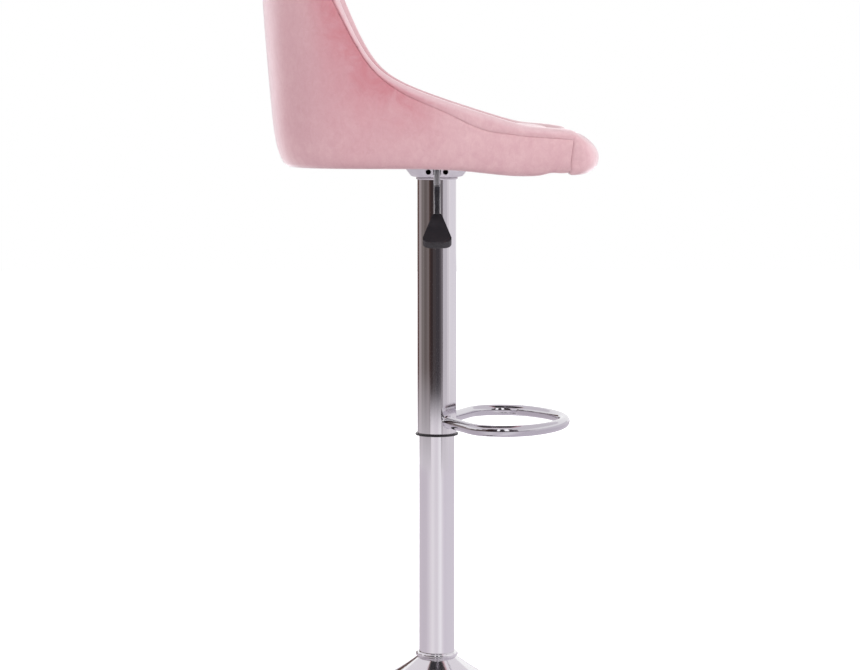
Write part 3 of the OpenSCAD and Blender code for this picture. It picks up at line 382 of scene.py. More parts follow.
class Paint:
    """The node tree of a material or the world, put together step by step."""

    def __init__(self, owner, shader, output="ShaderNodeOutputMaterial"):
        owner.use_nodes = True
        self.owner, self.tree = owner, owner.node_tree
        self.tree.nodes.clear()
        self.out, self.shader = self.node(output), self.node(shader)
        self.join(self.shader.outputs[0], self.out.inputs["Surface"])

    def node(self, kind, **values):
        """A new node with these constants on its inputs, named with _ for a space."""
        node = self.tree.nodes.new(kind)
        for key, value in values.items():
            node.inputs[key.replace("_", " ")].default_value = value
        return node

    def join(self, output, socket):
        self.tree.links.new(output, socket)

    def fill(self, socket, value):
        """Sets a number or colour on a socket, or joins an output to it."""
        if isinstance(value, tuple):
            socket.default_value = (*value, 1)
        elif isinstance(value, (int, float)):
            socket.default_value = value
        else:
            self.join(value, socket)

    def set(self, **values):
        """Fills sockets of the shader, named with _ for a space."""
        for key, value in values.items():
            self.fill(self.shader.inputs[key.replace("_", " ")], value)

    def place(self, stretch=(1, 1, 1)):
        """Object coordinates in metres, times stretch."""
        coords = self.node("ShaderNodeTexCoord")
        mapping = self.node("ShaderNodeMapping", Scale=stretch)
        self.join(coords.outputs["Object"], mapping.inputs["Vector"])
        return mapping.outputs["Vector"]

    def axis(self, letter):
        """One of the object coordinates in metres."""
        node = self.node("ShaderNodeSeparateXYZ")
        self.join(self.place(), node.inputs[0])
        return node.outputs[letter]

    def noise(self, scale, detail=3.0, rough=0.5, stretch=(1, 1, 1), warp=0.0):
        node = self.node("ShaderNodeTexNoise", Scale=scale, Detail=detail, Roughness=rough, Distortion=warp)
        self.join(self.place(stretch), node.inputs["Vector"])
        return node.outputs["Fac"]

    def spread(self, value, low, high, to_low=0.0, to_high=1.0):
        """Maps a value from one range to another, held at the ends."""
        node = self.node("ShaderNodeMapRange", From_Min=low, From_Max=high, To_Min=to_low, To_Max=to_high)
        self.join(value, node.inputs["Value"])
        return node.outputs["Result"]

    def math(self, kind, a, b):
        node = self.node("ShaderNodeMath")
        node.operation = kind
        self.fill(node.inputs[0], a)
        self.fill(node.inputs[1], b)
        return node.outputs[0]

    def mix(self, share, a, b):
        """Mixes two colours, each an rgb tuple or an output."""
        node = self.node("ShaderNodeMix")
        node.data_type = "RGBA"
        for index, value in ((0, share), (6, a), (7, b)):
            self.fill(node.inputs[index], value)
        return node.outputs[2]

    def ramp(self, value, stops):
        """Colours along a value from 0 to 1, as (place, colour) pairs."""
        node = self.node("ShaderNodeValToRGB")
        band = node.color_ramp.elements
        while len(band) < len(stops):
            band.new(0.5)
        for element, (place, tone) in zip(band, stops):
            element.position = place
            element.color = (*tone, 1)
        self.join(value, node.inputs["Fac"])
        return node.outputs["Color"]

    def mesh_value(self, name):
        """A number that the mesh stores for each vertex."""
        node = self.node("ShaderNodeAttribute")
        node.attribute_name = name
        return node.outputs["Fac"]

    def bump(self, height, strength, distance):
        node = self.node("ShaderNodeBump", Strength=strength, Distance=distance)
        self.join(height, node.inputs["Height"])
        self.set(Normal=node.outputs[0])

    def end_in_mix(self, share, first, second):
        """Ends the tree in a mix of two shaders."""
        node = self.node("ShaderNodeMixShader")
        self.join(share, node.inputs[0])
        self.join(first.outputs[0], node.inputs[1])
        self.join(second.outputs[0], node.inputs[2])
        self.join(node.outputs[0], self.out.inputs["Surface"])


def paint(name, shader="ShaderNodeBsdfPrincipled"):
    """Starts a new material."""
    return Paint(bpy.data.materials.new(name), shader)


def velvet_material(name, look, lift):
    """Velvet: short brushed pile with a pale sheen, painted shade and painted light from the mesh's marks, and
    painted lighter by lift on the rim covers.
    """
    pile, grey, red, pale = (tuple(tone) for tone in (look.pile, look.pile_grey, look.pile_red, look.pile_pale))
    p = paint(name)
    broad = p.spread(p.noise(9.0, 2.0, 0.5, (1, 1, 1.3), 0.6), 0.36, 0.66)
    mottle = p.spread(p.noise(42.0, 3.0, 0.6, (1, 1, 0.8), 1.2), 0.35, 0.68)
    blotch = p.spread(p.noise(26.0, 4.0, 0.65, (1, 1, 0.8), 1.6), 0.32, 0.68, 0.5, 1.2)
    nap = p.spread(p.noise(150.0, 4.0, 0.72, (1, 1, 0.75), 0.8), 0.3, 0.7)
    fine = p.noise(1500.0, 2.0, 0.6)
    patches = p.math("ADD", 0.45, p.math("MULTIPLY", broad, 0.55))
    tone = p.mix(p.math("MULTIPLY", mottle, 0.5), pile, grey)
    tone = p.mix(p.math("MULTIPLY", p.mesh_value("brushed"), patches), tone, grey)
    # Painted shade: the mesh's shade mark mixes in the red under the rim, on the shaded inner wings and at the
    # cushion's edge
    tone = p.mix(p.math("MULTIPLY", p.mesh_value("deep"), blotch), tone, red)
    # Painted light and sheen: the mesh's light mark, and lift on the rim covers, mix in the pale colour
    tone = p.mix(p.math("MAXIMUM", p.mesh_value("light"), lift), tone, pale)
    tone = p.mix(p.math("MULTIPLY", nap, 0.2), tone, tuple(0.72 * c for c in red))
    tone = p.mix(p.spread(fine, 0.3, 0.7, 0.0, 0.16), tone, red)
    p.set(Base_Color=tone, Roughness=p.spread(mottle, 0, 1, 0.8, 0.92), Specular_IOR_Level=0.05,
          Sheen_Weight=1.0, Sheen_Roughness=0.34, Sheen_Tint=srgb(250, 244, 246))
    p.bump(p.math("ADD", p.math("MULTIPLY", fine, 0.6), p.math("MULTIPLY", mottle, 0.8)), 0.25, 0.0006)


def chrome_material(name, tone, rough):
    """Polished chrome with faint smears in its gloss."""
    p = paint(name)
    smear = p.noise(14.0, 4.0, 0.6, (1, 1, 0.35), 0.8)
    p.set(Base_Color=p.mix(p.spread(smear, 0.35, 0.7, 0, 0.35), tone, tuple(c * 0.94 for c in tone)),
          Roughness=p.spread(smear, 0.3, 0.7, rough, rough * 1.5), Metallic=1.0)
    return p.owner


# The rod's painted reflection lies over this bend
ROD_BEND_LOW, ROD_BEND_HIGH = 0.026, 0.020  # the bend under the rod's top, in metres


def rod_material(name):
    """Chrome with a painted reflection: paler and duller where the rod bends under the dish, in place of the bright
    light that the bend reflects.
    """
    top = max(corner[2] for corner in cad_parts["lever_rod"].bound_box)
    p = paint(name)
    bend = p.spread(p.axis("Z"), top - ROD_BEND_LOW, top - ROD_BEND_HIGH)
    smear = p.spread(p.noise(40.0), 0.35, 0.65, 0, 0.5)
    # Painted reflection: at the bend the chrome turns into a white matte surface
    p.set(Base_Color=p.mix(smear, srgb(248, 246, 250), srgb(238, 235, 240)),
          Metallic=p.spread(bend, 0, 1, 1.0, 0.0), Roughness=p.spread(bend, 0, 1, 0.05, 0.5))
    return p.owner


def satin_material(name, tone, dark, rough, scale, metallic=1.0, bump=0.1):
    """Satin, zinc plated or brushed metal with clouded colour."""
    p = paint(name)
    cloud = p.noise(scale, 4.0, 0.6, warp=0.4)
    p.set(Base_Color=p.mix(p.spread(cloud, 0.35, 0.65), tone, dark),
          Roughness=p.spread(cloud, 0.3, 0.7, rough, rough + 0.12), Metallic=metallic)
    p.bump(p.noise(scale * 18, 2.0), bump, 0.0002)
    return p.owner


def plastic_material(name, tone, worn, rough, grain=900.0, strength=0.15):
    """Moulded plastic, paint or rubber with a fine grain."""
    p = paint(name)
    wear = p.noise(30.0, 4.0, 0.6)
    p.set(Base_Color=p.mix(p.spread(wear, 0.5, 0.75, 0, 0.6), tone, worn),
          Roughness=p.spread(wear, 0.3, 0.7, rough - 0.06, rough + 0.08))
    p.bump(p.noise(grain, 2.0, 0.6), strength, 0.0002)
    return p.owner


def plywood_material(name):
    """Birch plywood with grain along it and thin darker layers."""
    p = paint(name)
    grain = p.noise(60.0, 6.0, 0.6, (1, 9, 1), 1.5)
    layers = p.node("ShaderNodeTexWave", Scale=180.0, Distortion=0.6)
    layers.bands_direction = "Z"
    p.join(p.place(), layers.inputs["Vector"])
    wood = p.mix(p.spread(grain, 0.3, 0.7), srgb(214, 178, 130), srgb(186, 146, 98))
    p.set(Base_Color=p.mix(p.spread(layers.outputs["Fac"], 0.6, 1.0, 0, 0.35), wood, srgb(140, 100, 62)),
          Roughness=p.spread(grain, 0.3, 0.7, 0.55, 0.7), Specular_IOR_Level=0.3)
    p.bump(grain, 0.15, 0.0003)
    return p.owner


def liner_material(name):
    """Thin black nonwoven liner."""
    p = paint(name)
    fleece = p.noise(700.0, 4.0, 0.7)
    p.set(Base_Color=p.mix(p.spread(fleece, 0.4, 0.7), srgb(26, 26, 28), srgb(58, 57, 60)),
          Roughness=p.spread(fleece, 0.3, 0.7, 0.85, 0.95), Sheen_Weight=0.2, Sheen_Roughness=0.5)
    p.bump(fleece, 0.5, 0.0004)
    return p.owner


def finish_nodes(material, *names):
    """Gives CAD nodes a finish."""
    for name in names:
        give_material(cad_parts[name].data, material)


class BARSTOOL_OT_metal(bpy.types.Operator):
    """Give the column, base, footrest and fittings their finishes"""
    bl_idname = "barstool.metal"
    bl_label = "Metal and plastic"
    bl_options = {"REGISTER", "UNDO"}

    def execute(self, context):
        silver = srgb(240, 238, 241)
        finish_nodes(chrome_material("polished chrome", silver, 0.05), "pole", "pole_collar", "outer_tube")
        finish_nodes(chrome_material("base chrome", silver, 0.1), "base_shell")
        # A darker copy of the chrome: painted shade in the footrest ring's reflections
        finish_nodes(chrome_material("footrest chrome", srgb(213, 210, 216), 0.06), "footrest_ring")
        finish_nodes(chrome_material("pale ring", srgb(226, 222, 226), 0.16), "tube_cap")
        finish_nodes(rod_material("lever chrome"), "lever_rod")
        finish_nodes(satin_material("satin dish", srgb(222, 217, 223), srgb(212, 207, 214), 0.34, 25.0, 0.4, 0.12),
                     "mount_dish")
        finish_nodes(satin_material("zinc plate", srgb(190, 192, 196), srgb(168, 170, 172), 0.32, 60.0),
                     "hub_screws", "seat_screws", "screw_washers", "tee_nuts", "rod_washer", "rod_clip")
        finish_nodes(satin_material("black plate", srgb(70, 70, 74), srgb(54, 54, 58), 0.42, 40.0, 0.8),
                     "hub_plate", "pole_foot", "lift_socket", "seat_plate", "lever_bracket", "lever_pin")
        finish_nodes(satin_material("bearing steel", srgb(196, 197, 200), srgb(182, 183, 187), 0.12, 60.0, bump=0.03),
                     "lower_race", "upper_race", "bearing_balls", "piston_rod", "valve_pin")
        finish_nodes(satin_material("turned brass", srgb(201, 168, 92), srgb(178, 142, 70), 0.25, 50.0),
                     "piston", "rod_gland")
        finish_nodes(plastic_material("black tube paint", srgb(34, 34, 37), srgb(52, 52, 55), 0.3, 500.0, 0.06),
                     "gas_cylinder")
        finish_nodes(plastic_material("black plastic", srgb(36, 33, 37), srgb(56, 52, 56), 0.42),
                     "lever_handle", "guide_sleeve")
        finish_nodes(plastic_material("glossy black plastic", srgb(26, 24, 27), srgb(38, 36, 38), 0.14, 500.0, 0.05),
                     "tube_bushing")
        finish_nodes(plastic_material("black rubber", srgb(38, 37, 38), srgb(58, 57, 57), 0.7, 600.0, 0.3),
                     "floor_ring", "bearing_buffer")
        finish_nodes(plywood_material("birch plywood"), "seat_board", "bucket_shell")
        finish_nodes(liner_material("black liner"), "dust_cover")
        return {"FINISHED"}


# Upholstery: places along x and heights z are in millimetres on the stool

WALL_STATIONS, WALL_LEVELS, WALL_BACK_LEVELS = 331, 34, 9  # mesh of the outer panel
WALL_BACK_D = 9.6  # depth of the outer panel's back
PAD_STATIONS, PAD_ROUND, PAD_INNER, PAD_BACK = 241, 74, 16, 14  # mesh of the padding
PAD_TONGUE_D = 9.4  # depth of the padding's tongue behind the panel
PAD_END_REACH = 7.0  # how far the padding's ends reach into the roll
ROLL_LEVELS, ROLL_ROUND = 46, 91  # mesh of the front roll
ROLL_NOSE = 0.42  # height of the roll's nose, as a share of its height
ROLL_POWER_UP, ROLL_POWER_DOWN = 1.6, 2.7  # roundness of the roll over and under its nose
ROLL_SQUARENESS = 3.4  # squareness of the roll's plan
ROLL_TOP_ROUND = 16.0  # how far the roll's ends draw in at the top
VELVET_VOXEL, CUSHION_VOXEL = 0.0035, 0.005  # remeshing, in metres
SEAM_WANDER, SEAM_WANDER_REACH = 1.7, 14.0  # how far the front seam wanders, and over what length
SEAM_WANDER_Z, SEAM_WANDER_WAVE = 801.0, 9.5  # where it is straight, and how slowly it turns with the height
CLOTH_FRAMES, CLOTH_PRESSURE = 20, 4.0
CUSHION_EDGE_CAP, CUSHION_TOP_CAP = 0.6, 5.4  # how far the swelling may move the edge, and the top more


def mark(piece, **values):
    """Stores numbers per vertex that the velvet reads."""
    for name, numbers in values.items():
        layer = piece.data.attributes.new(name, "FLOAT", "POINT")
        layer.data.foreach_set("value", np.clip(np.asarray(numbers, np.float32), 0, 1))


def vertex_vectors(piece, key):
    """A vector of each vertex of the piece."""
    vectors = np.empty(len(piece.data.vertices) * 3)
    piece.data.vertices.foreach_get(key, vectors)
    return vectors.reshape(-1, 3)


def coordinates(piece):
    """The piece's vertices in millimetres."""
    return vertex_vectors(piece, "co") / MM


def move_to(piece, points):
    piece.data.vertices.foreach_set("co", (points * MM).ravel())
    piece.data.update()


def rim_table(form):
    """The rim's height along x on the side wall."""
    u = np.linspace(1, 0.02, 400)
    x = form.plan(u)[0]
    order = np.argsort(x)
    return x[order], form.rim(u)[order]


def pile_marks(piece, form):
    """Painted shade in the hollow under the rim and on the inner wings, brushed pile at the rear, and painted light
    on the rim's crest, the front, the rear edge and the upper inner wings.
    """
    x, y, z = coordinates(piece).T
    places, heights = rim_table(form)
    rim = np.interp(x, places, heights)
    slope = np.interp(x, places, np.gradient(heights, places))
    under_rim = np.maximum(0, rim - z) / np.hypot(1, slope)
    facing_in = -np.sign(y) * vertex_vectors(piece, "normal")[:, 1]
    inside = smooth_step(facing_in, 0.05, 0.45) * smooth_step(x, -190, -150)
    behind_arms = smooth_step(x, 128, 98)
    # Painted shade in the hollow under the rim, on the outer side
    band = 1.05 * np.exp(-(under_rim / 44) ** 1.5) * smooth_step(x, 35, -60) * smooth_step(x, -235, -175)
    # Painted shade on the inner sides of the wings behind the arms, which lie in shadow
    shaded = inside * behind_arms * smooth_step(z, 960, 895)
    # Painted highlight along the rim's crest, where it faces up
    crest_highlight = smooth_step(z - rim, -9, -2) * (1 - inside * behind_arms)
    # Painted light and sheen on the front, the crest and the rear edge
    light = 0.5 * smooth_step(x, 185, 220) + 0.85 * crest_highlight + 0.7 * smooth_step(x, -203, -227)
    # Painted light also on the upper inner wings, which face the light
    mark(piece, deep=np.maximum(band * (1 - inside), 0.75 * shaded),
         brushed=smooth_step(x, 60, -100) * (0.35 + 0.55 * smooth_step(z, 795, 840)),
         light=np.maximum(light, 0.6 * inside * smooth_step(z, 905, 975)))


def front_wander(s, x, z):
    """Fore and aft wander of the seam between the panel and the front roll."""
    wave = np.sin((z - SEAM_WANDER_Z) / SEAM_WANDER_WAVE)
    return SEAM_WANDER * hump(x, s.seat_front, SEAM_WANDER_REACH) * wave


def outer_wall(form):
    """Rings of the outer panel: bowed between its seams, with small puckers where it is sewn."""
    s = form.s
    u = stations(WALL_STATIONS)[:, None]
    levels = (np.linspace(0, 1, WALL_LEVELS) ** 1.15)[None, :]
    x, y = form.plan(u)
    low = form.lower_edge(x) + 2.6 * hump(x, 153, 11)
    high = form.seam(u) - 0.1
    z = low + (high - low) * levels
    bow = np.sin(np.pi * levels)
    run = np.cumsum(np.hypot(np.diff(x[:, 0], prepend=x[0, 0]), np.diff(y[:, 0], prepend=0)))[:, None]
    gathers = hump(z, high, 9) * np.sin(run / 3.1 + 1.7 * np.sin(run / 13)) * np.sin(run / 27 + 0.6)
    puckers = hump(x, s.seat_front, 12) * np.sin(z / 3.4 + 1.2 * np.sin(z / 11)) * smooth_step(levels, 0.03, 0.13)
    swell = 3.0 * bow ** 0.8 + 0.5 * levels
    tucked = 2.2 * (1 - levels) ** 20 + 0.2 * hump(z, high, 1.4) + 0.25 * hump(x, s.seat_front, 2.5)
    relief = 0.35 * gathers + s.pucker * puckers + 0.35 * ripple(x, y, z, 0.035, 4) * bow
    outer = form.wall(u, z, tucked - swell + relief)
    outer[..., 0] += front_wander(s, outer[..., 0], z)
    back_levels = np.linspace(1, 0, WALL_BACK_LEVELS)[None, :]
    inner = form.wall(u, low + (high - low) * back_levels, WALL_BACK_D)
    return np.concatenate([outer, inner], 1)


class BARSTOOL_OT_outer_panel(bpy.types.Operator):
    """Build the velvet panel round the sides and the back"""
    bl_idname = "barstool.outer_panel"
    bl_label = "Outer panel"
    bl_options = {"REGISTER", "UNDO"}

    def execute(self, context):
        form = SeatForm(context.scene.barstool_seat)
        points, faces = closed_loft(outer_wall(form))
        piece = new_piece("outer_velvet", points, faces, bpy.data.materials["brushed velvet"], "seat")
        pile_marks(piece, form)
        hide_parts("outer_panel")
        return {"FINISHED"}


def pad_rings(form):
    """Rings of the padding: rolled rim over the wall, then down the inner side and up its back."""
    bulge = form.s.rim_bulge
    u = stations(PAD_STATIONS)[:, None]
    top, low, width = form.rim(u), form.seam(u) + 0.1, form.strip(u)
    inner_top = form.pad_depth(u, top - RIM_ROUND)
    over_the_rim = [  # heights, and depths under the outer surface
        (low - 6, 7.0), (low - 2.5, 2.0), (low, 0.0),
        (low + 0.16 * width, -0.3), (low + 0.36 * width, -0.45 * bulge), (low + 0.58 * width, -0.5 * bulge),
        (top - 0.11 * RIM_ROUND, 0.04 * inner_top), (top + 1.0, 0.2 * inner_top), (top + 2.1, 0.42 * inner_top),
        (top - 0.2, 0.68 * inner_top), (top - 0.38 * RIM_ROUND, 0.9 * inner_top),
    ]
    rows = [form.wall(u, z, d) for z, d in over_the_rim]
    for share in np.linspace(1, 0, PAD_INNER):
        z = PAD_BOTTOM + (top - 0.95 * RIM_ROUND - PAD_BOTTOM) * share
        rows.append(form.wall(u, z, form.pad_depth(u, z)))
    curve = resample(np.concatenate(rows, 1), PAD_ROUND)
    back = [form.wall(u, PAD_BOTTOM + (low - PAD_BOTTOM) * share, PAD_OUTER_D)
            for share in np.linspace(0, 1, PAD_BACK)]
    tongue = [form.wall(u, low, PAD_TONGUE_D), form.wall(u, low - 5, PAD_TONGUE_D)]
    return np.concatenate([curve, *back, *tongue], 1)


def roll_rings(form, back_x):
    """Level rings of the front roll, from the bottom up."""
    s = form.s
    top = float(form.arm_z(np.array(s.seat_front)))
    bottom = PLATE_BOTTOM - s.roll_hang
    nose_z = bottom + (top - bottom) * ROLL_NOSE
    t = np.radians(np.linspace(-90, 90, ROLL_ROUND))
    r = 1 / (np.abs(np.cos(t)) ** ROLL_SQUARENESS + np.abs(np.sin(t)) ** ROLL_SQUARENESS) ** (1 / ROLL_SQUARENESS)
    rows = []
    for share in 0.5 - 0.5 * np.cos(np.linspace(0.03, np.pi - 0.03, ROLL_LEVELS)):
        z = bottom + 0.3 + (top - bottom - 0.6) * share
        if z > nose_z:
            away, power = (z - nose_z) / (top - nose_z), ROLL_POWER_UP
        else:
            away, power = (nose_z - z) / (nose_z - bottom), ROLL_POWER_DOWN
        reach = s.roll_depth * (1 - away ** power) ** (1 / power)
        near_top = float(np.clip((z - (top - RIM_ROUND)) / RIM_ROUND, 0, 1))
        drawn_in = ROLL_TOP_ROUND * (1 - math.sqrt(max(0, 1 - near_top ** 2)))
        lean = (z - EDGE_Z - s.tuck_height) * math.tan(s.side_lean)
        half = s.seat_half_w - s.front_taper + lean - SIDE_TUCK * float(form.tuck(z - bottom)) - drawn_in
        x = s.seat_front + 0.4 + reach * r * np.cos(t).clip(0)
        y = half * r * np.sin(t)
        x[[0, -1]] = back_x
        x = np.concatenate([[s.seat_front - 2.5], x, [s.seat_front - 2.5]])
        y = np.concatenate([[y[0] + 1.2], y, [y[-1] - 1.2]])
        rows.append(np.stack([x, y, np.full_like(x, z)], -1))
    return np.array(rows)


def smooth_some(piece, weights, rounds, factor=0.5):
    """Smooths the vertices by their weights, keeping the rest."""
    mesh = piece.data
    edges = np.empty(len(mesh.edges) * 2, int)
    mesh.edges.foreach_get("vertices", edges)
    a, b = edges.reshape(-1, 2).T
    points = coordinates(piece)
    count = np.bincount(a, minlength=len(points)) + np.bincount(b, minlength=len(points))
    share = (factor * weights)[:, None]
    for _ in range(rounds):
        total = np.zeros_like(points)
        np.add.at(total, a, points[b])
        np.add.at(total, b, points[a])
        points += share * (total / np.maximum(1, count)[:, None] - points)
    move_to(piece, points)


def remesh(piece, size):
    """Turns the piece into one even skin."""
    modifier = piece.modifiers.new("Remesh", "REMESH")
    modifier.mode = "VOXEL"
    modifier.voxel_size = size
    modifier.use_smooth_shade = True
    apply_modifiers(piece)


class BARSTOOL_OT_padding(bpy.types.Operator):
    """Build the padding of the arms and back with the front roll, under one cover"""
    bl_idname = "barstool.padding"
    bl_label = "Padding and front roll"
    bl_options = {"REGISTER", "UNDO"}

    def execute(self, context):
        form = SeatForm(context.scene.barstool_seat)
        s = form.s
        pad = pad_rings(form)
        ends = np.array([PAD_END_REACH, 0, 0])
        pad_points, faces = closed_loft(np.concatenate([pad[:1] + ends, pad, pad[-1:] + ends]))
        roll_points, roll_faces = closed_loft(roll_rings(form, s.seat_front + 0.5))
        faces = faces + [tuple(i + len(pad_points) for i in face) for face in roll_faces]
        piece = new_piece("rim_and_roll_velvet", np.concatenate([pad_points, roll_points]), faces,
                          bpy.data.materials["rim velvet"], "seat")
        remesh(piece, VELVET_VOXEL)
        front_seam = form.seam(np.array([0.99]))[0]
        x, y, z = coordinates(piece).T
        # Over the side seam the rim runs into the roll without an edge
        joint = hump(x, s.seat_front, 11) * smooth_step(z - front_seam, 3, 9)
        smooth_some(piece, np.full(len(x), 0.35), rounds=3)
        smooth_some(piece, joint, rounds=26)
        points = coordinates(piece)
        x, y, z = points.T
        front = smooth_step(x - s.seat_front, 1, 7)
        gathers = hump(x, s.seat_front + 6, 9) * np.sin(z / 3.6 + 1.5 * np.sin(z / 9)) * smooth_step(z, 808, 794)
        relief = (0.7 * ripple(x, y, z, 0.03, 11) + s.pucker * gathers) * front
        points = points + vertex_vectors(piece, "normal") * relief[:, None]
        points[:, 0] += front_wander(s, x, z) * smooth_step(z - front_seam, 4, -4)
        move_to(piece, points)
        pile_marks(piece, form)
        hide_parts("inner_pad", "front_roll")
        return {"FINISHED"}


def inflate(piece, scene):
    """Swells the piece by cloth simulation under pressure."""
    cloth = piece.modifiers.new("Cloth", "CLOTH")
    cloth.settings.use_pressure = True
    cloth.settings.uniform_pressure_force = CLOTH_PRESSURE
    cloth.settings.effector_weights.gravity = 0
    cloth.point_cache.frame_start = 1
    cloth.point_cache.frame_end = CLOTH_FRAMES
    for number in range(1, CLOTH_FRAMES + 1):
        scene.frame_set(number)
    apply_modifiers(piece)
    scene.frame_set(1)


class BARSTOOL_OT_cushion(bpy.types.Operator):
    """Build the seat cushion, swollen by cloth simulation"""
    bl_idname = "barstool.cushion"
    bl_label = "Seat cushion"
    bl_options = {"REGISTER", "UNDO"}

    def execute(self, context):
        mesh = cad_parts["seat_cushion"].data.copy()
        give_material(mesh, bpy.data.materials["brushed velvet"])
        piece = add_object("cushion_velvet", mesh)
        remesh(piece, CUSHION_VOXEL)
        start = coordinates(piece)
        inflate(piece, context.scene)
        low, high = start[:, 2].min(), start[:, 2].max()
        free = smooth_step((start[:, 2] - low) / (high - low), 0.6, 0.9)
        # The sides stay inside the bucket, so only the top may move far
        cap = (CUSHION_EDGE_CAP + CUSHION_TOP_CAP * free)[:, None]
        offset = coordinates(piece) - start
        size = np.linalg.norm(offset, axis=1, keepdims=True)
        points = start + offset * np.minimum(1, cap / np.maximum(size, 1e-6))
        points[:, 2] = np.maximum(points[:, 2], low)
        x, y, z = points.T
        hollow = 3.0 * hump(x, -10, 90) * hump(y, 0, 95)
        crease = 0.8 * ripple(x, y, z, 0.028, 7)
        points[:, 2] += (crease - hollow) * free
        move_to(piece, points)
        modifier = piece.modifiers.new("Subdivision", "SUBSURF")
        modifier.levels = modifier.render_levels = 1
        apply_modifiers(piece)
        x, y, z = coordinates(piece).T
        from_middle = np.hypot((x + 20) / 190, y / 175)
        # Painted shade toward the cushion's edge where it meets the padding, and painted light along its top
        mark(piece, deep=0.35 * smooth_step(from_middle, 0.75, 1.0),
             brushed=np.full(len(x), 0.3), light=0.25 * smooth_step(z - high, -6, 2))
        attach(piece, "seat")
        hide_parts("seat_cushion")
        return {"FINISHED"}


class BARSTOOL_OT_velvets(bpy.types.Operator):
    """Make the velvet materials"""
    bl_idname = "barstool.velvets"
    bl_label = "Velvet"
    bl_options = {"REGISTER", "UNDO"}

    def execute(self, context):
        look = context.scene.barstool_velvet
        velvet_material("brushed velvet", look, 0.0)
        # The rim covers get painted light all over, a tenth of the way to the pale colour
        velvet_material("rim velvet", look, 0.1)
        return {"FINISHED"}


# Studio

CAMERA_PLACE, CAMERA_SHIFT, SENSOR_WIDTH = (-0.0097, -3.956, 0.9027), -0.05, 36.0
FLOOR_HALF, CEILING_HALF, CEILING_Z, CEILING_TONE = 9.0, 5.0, 3.2, srgb(228, 224, 229)
FLOOR_GLOW = (0.5, 1.8, 0.36, 0.8)  # from and to, in metres from the column, and the glow there
CARD_DISTANCE, SOFTBOX_DISTANCE = 2.2, 2.1
SOFTBOX_BEARINGS, SOFTBOX_LOW, SOFTBOX_HIGH, SOFTBOX_WIDTH = (-9, 13), 0.75, 2.6, 0.3
SOFTBOX_TONE = (1.4, 1.4, 1.4)

# Lamps: name, place, target, size in metres, power as a multiple of the key level
LAMPS = (
    ("key", (2.2, -2.6, 2.6), (0, 0, 0.7), 1.8, 3.2),
    ("fill", (-2.8, -1.6, 1.8), (0, 0, 0.7), 1.6, 1.5),
    ("back", (1.0, 2.6, 2.4), (0, 0, 0.8), 1.6, 0.5),
    ("left", (-2.0, 2.5, 1.3), (0, 0, 0.9), 1.2, 1.4),
    ("right", (2.7, 1.1, 1.2), (0, 0, 0.8), 1.6, 1.0),
)

# Cards that the chrome reflects: from and to, in degrees to the right of the camera, top in metres, colour
REFLECTIONS = (
    (-168, -132, 0.8, (96, 74, 70)), (-132, -104, 0.8, (160, 150, 150)), (-104, -80, 0.9, (122, 114, 112)),
    (-80, -62, 1.2, (104, 95, 93)), (-62, -46, 1.8, (116, 106, 105)), (-46, -39, 2.4, (78, 62, 58)),
    (-39, -24, 2.6, (56, 46, 46)), (-24, -6, 2.6, (70, 64, 66)), (-6, 16, 2.6, (64, 60, 64)),
    (16, 26, 2.4, (88, 82, 86)), (26, 36, 1.8, (120, 114, 118)), (36, 62, 0.9, (196, 191, 197)),
    (62, 76, 0.9, (216, 211, 216)), (76, 84, 0.9, (232, 228, 232)), (84, 150, 0.8, (226, 222, 228)),
)

# Lower edge of the cards and height of their fade, in metres: those that the column reflects, and the others
COLUMN_BEARINGS, COLUMN_EDGE, OUTER_EDGE = (-40, 26), (0.15, 0.06), (0.04, 0.22)

FLOOR_TONE = srgb(214, 209, 215)  # what the cards fade into

# Tones of the reflected floor, by its offset to the right for each metre toward the camera
FLOOR_REACH = 3.0
FLOOR_BANDS = (
    (-3.0, (204, 196, 205)), (-2.4, (208, 200, 209)), (-1.35, (215, 208, 216)), (-0.82, (227, 221, 227)),
    (-0.58, (233, 228, 233)), (-0.44, (234, 229, 234)), (-0.30, (228, 223, 229)), (-0.10, (223, 217, 224)),
    (0.05, (224, 218, 225)), (0.20, (234, 230, 235)), (0.38, (242, 239, 244)), (0.50, (241, 238, 243)),
    (0.64, (232, 227, 233)), (0.85, (222, 216, 224)), (1.3, (214, 207, 217)), (3.0, (216, 210, 219)),
)


def rays(p, *kinds):
    """1 for rays of any of these kinds, otherwise 0."""
    path = p.node("ShaderNodeLightPath")
    share = path.outputs[kinds[0]]
    for kind in kinds[1:]:
        share = p.math("MAXIMUM", share, path.outputs[kind])
    return share


def studio_world(level):
    """Even light of this level, and plain white where it is seen or reflected."""
    world = bpy.data.worlds.new("studio")
    bpy.context.scene.world = world
    p = Paint(world, "ShaderNodeBackground", "ShaderNodeOutputWorld")
    p.set(Color=(1, 1, 1), Strength=level)
    white = p.node("ShaderNodeBackground", Color=(1, 1, 1, 1), Strength=1.0)
    p.end_in_mix(rays(p, "Is Camera Ray", "Is Glossy Ray", "Is Transmission Ray"), p.shader, white)


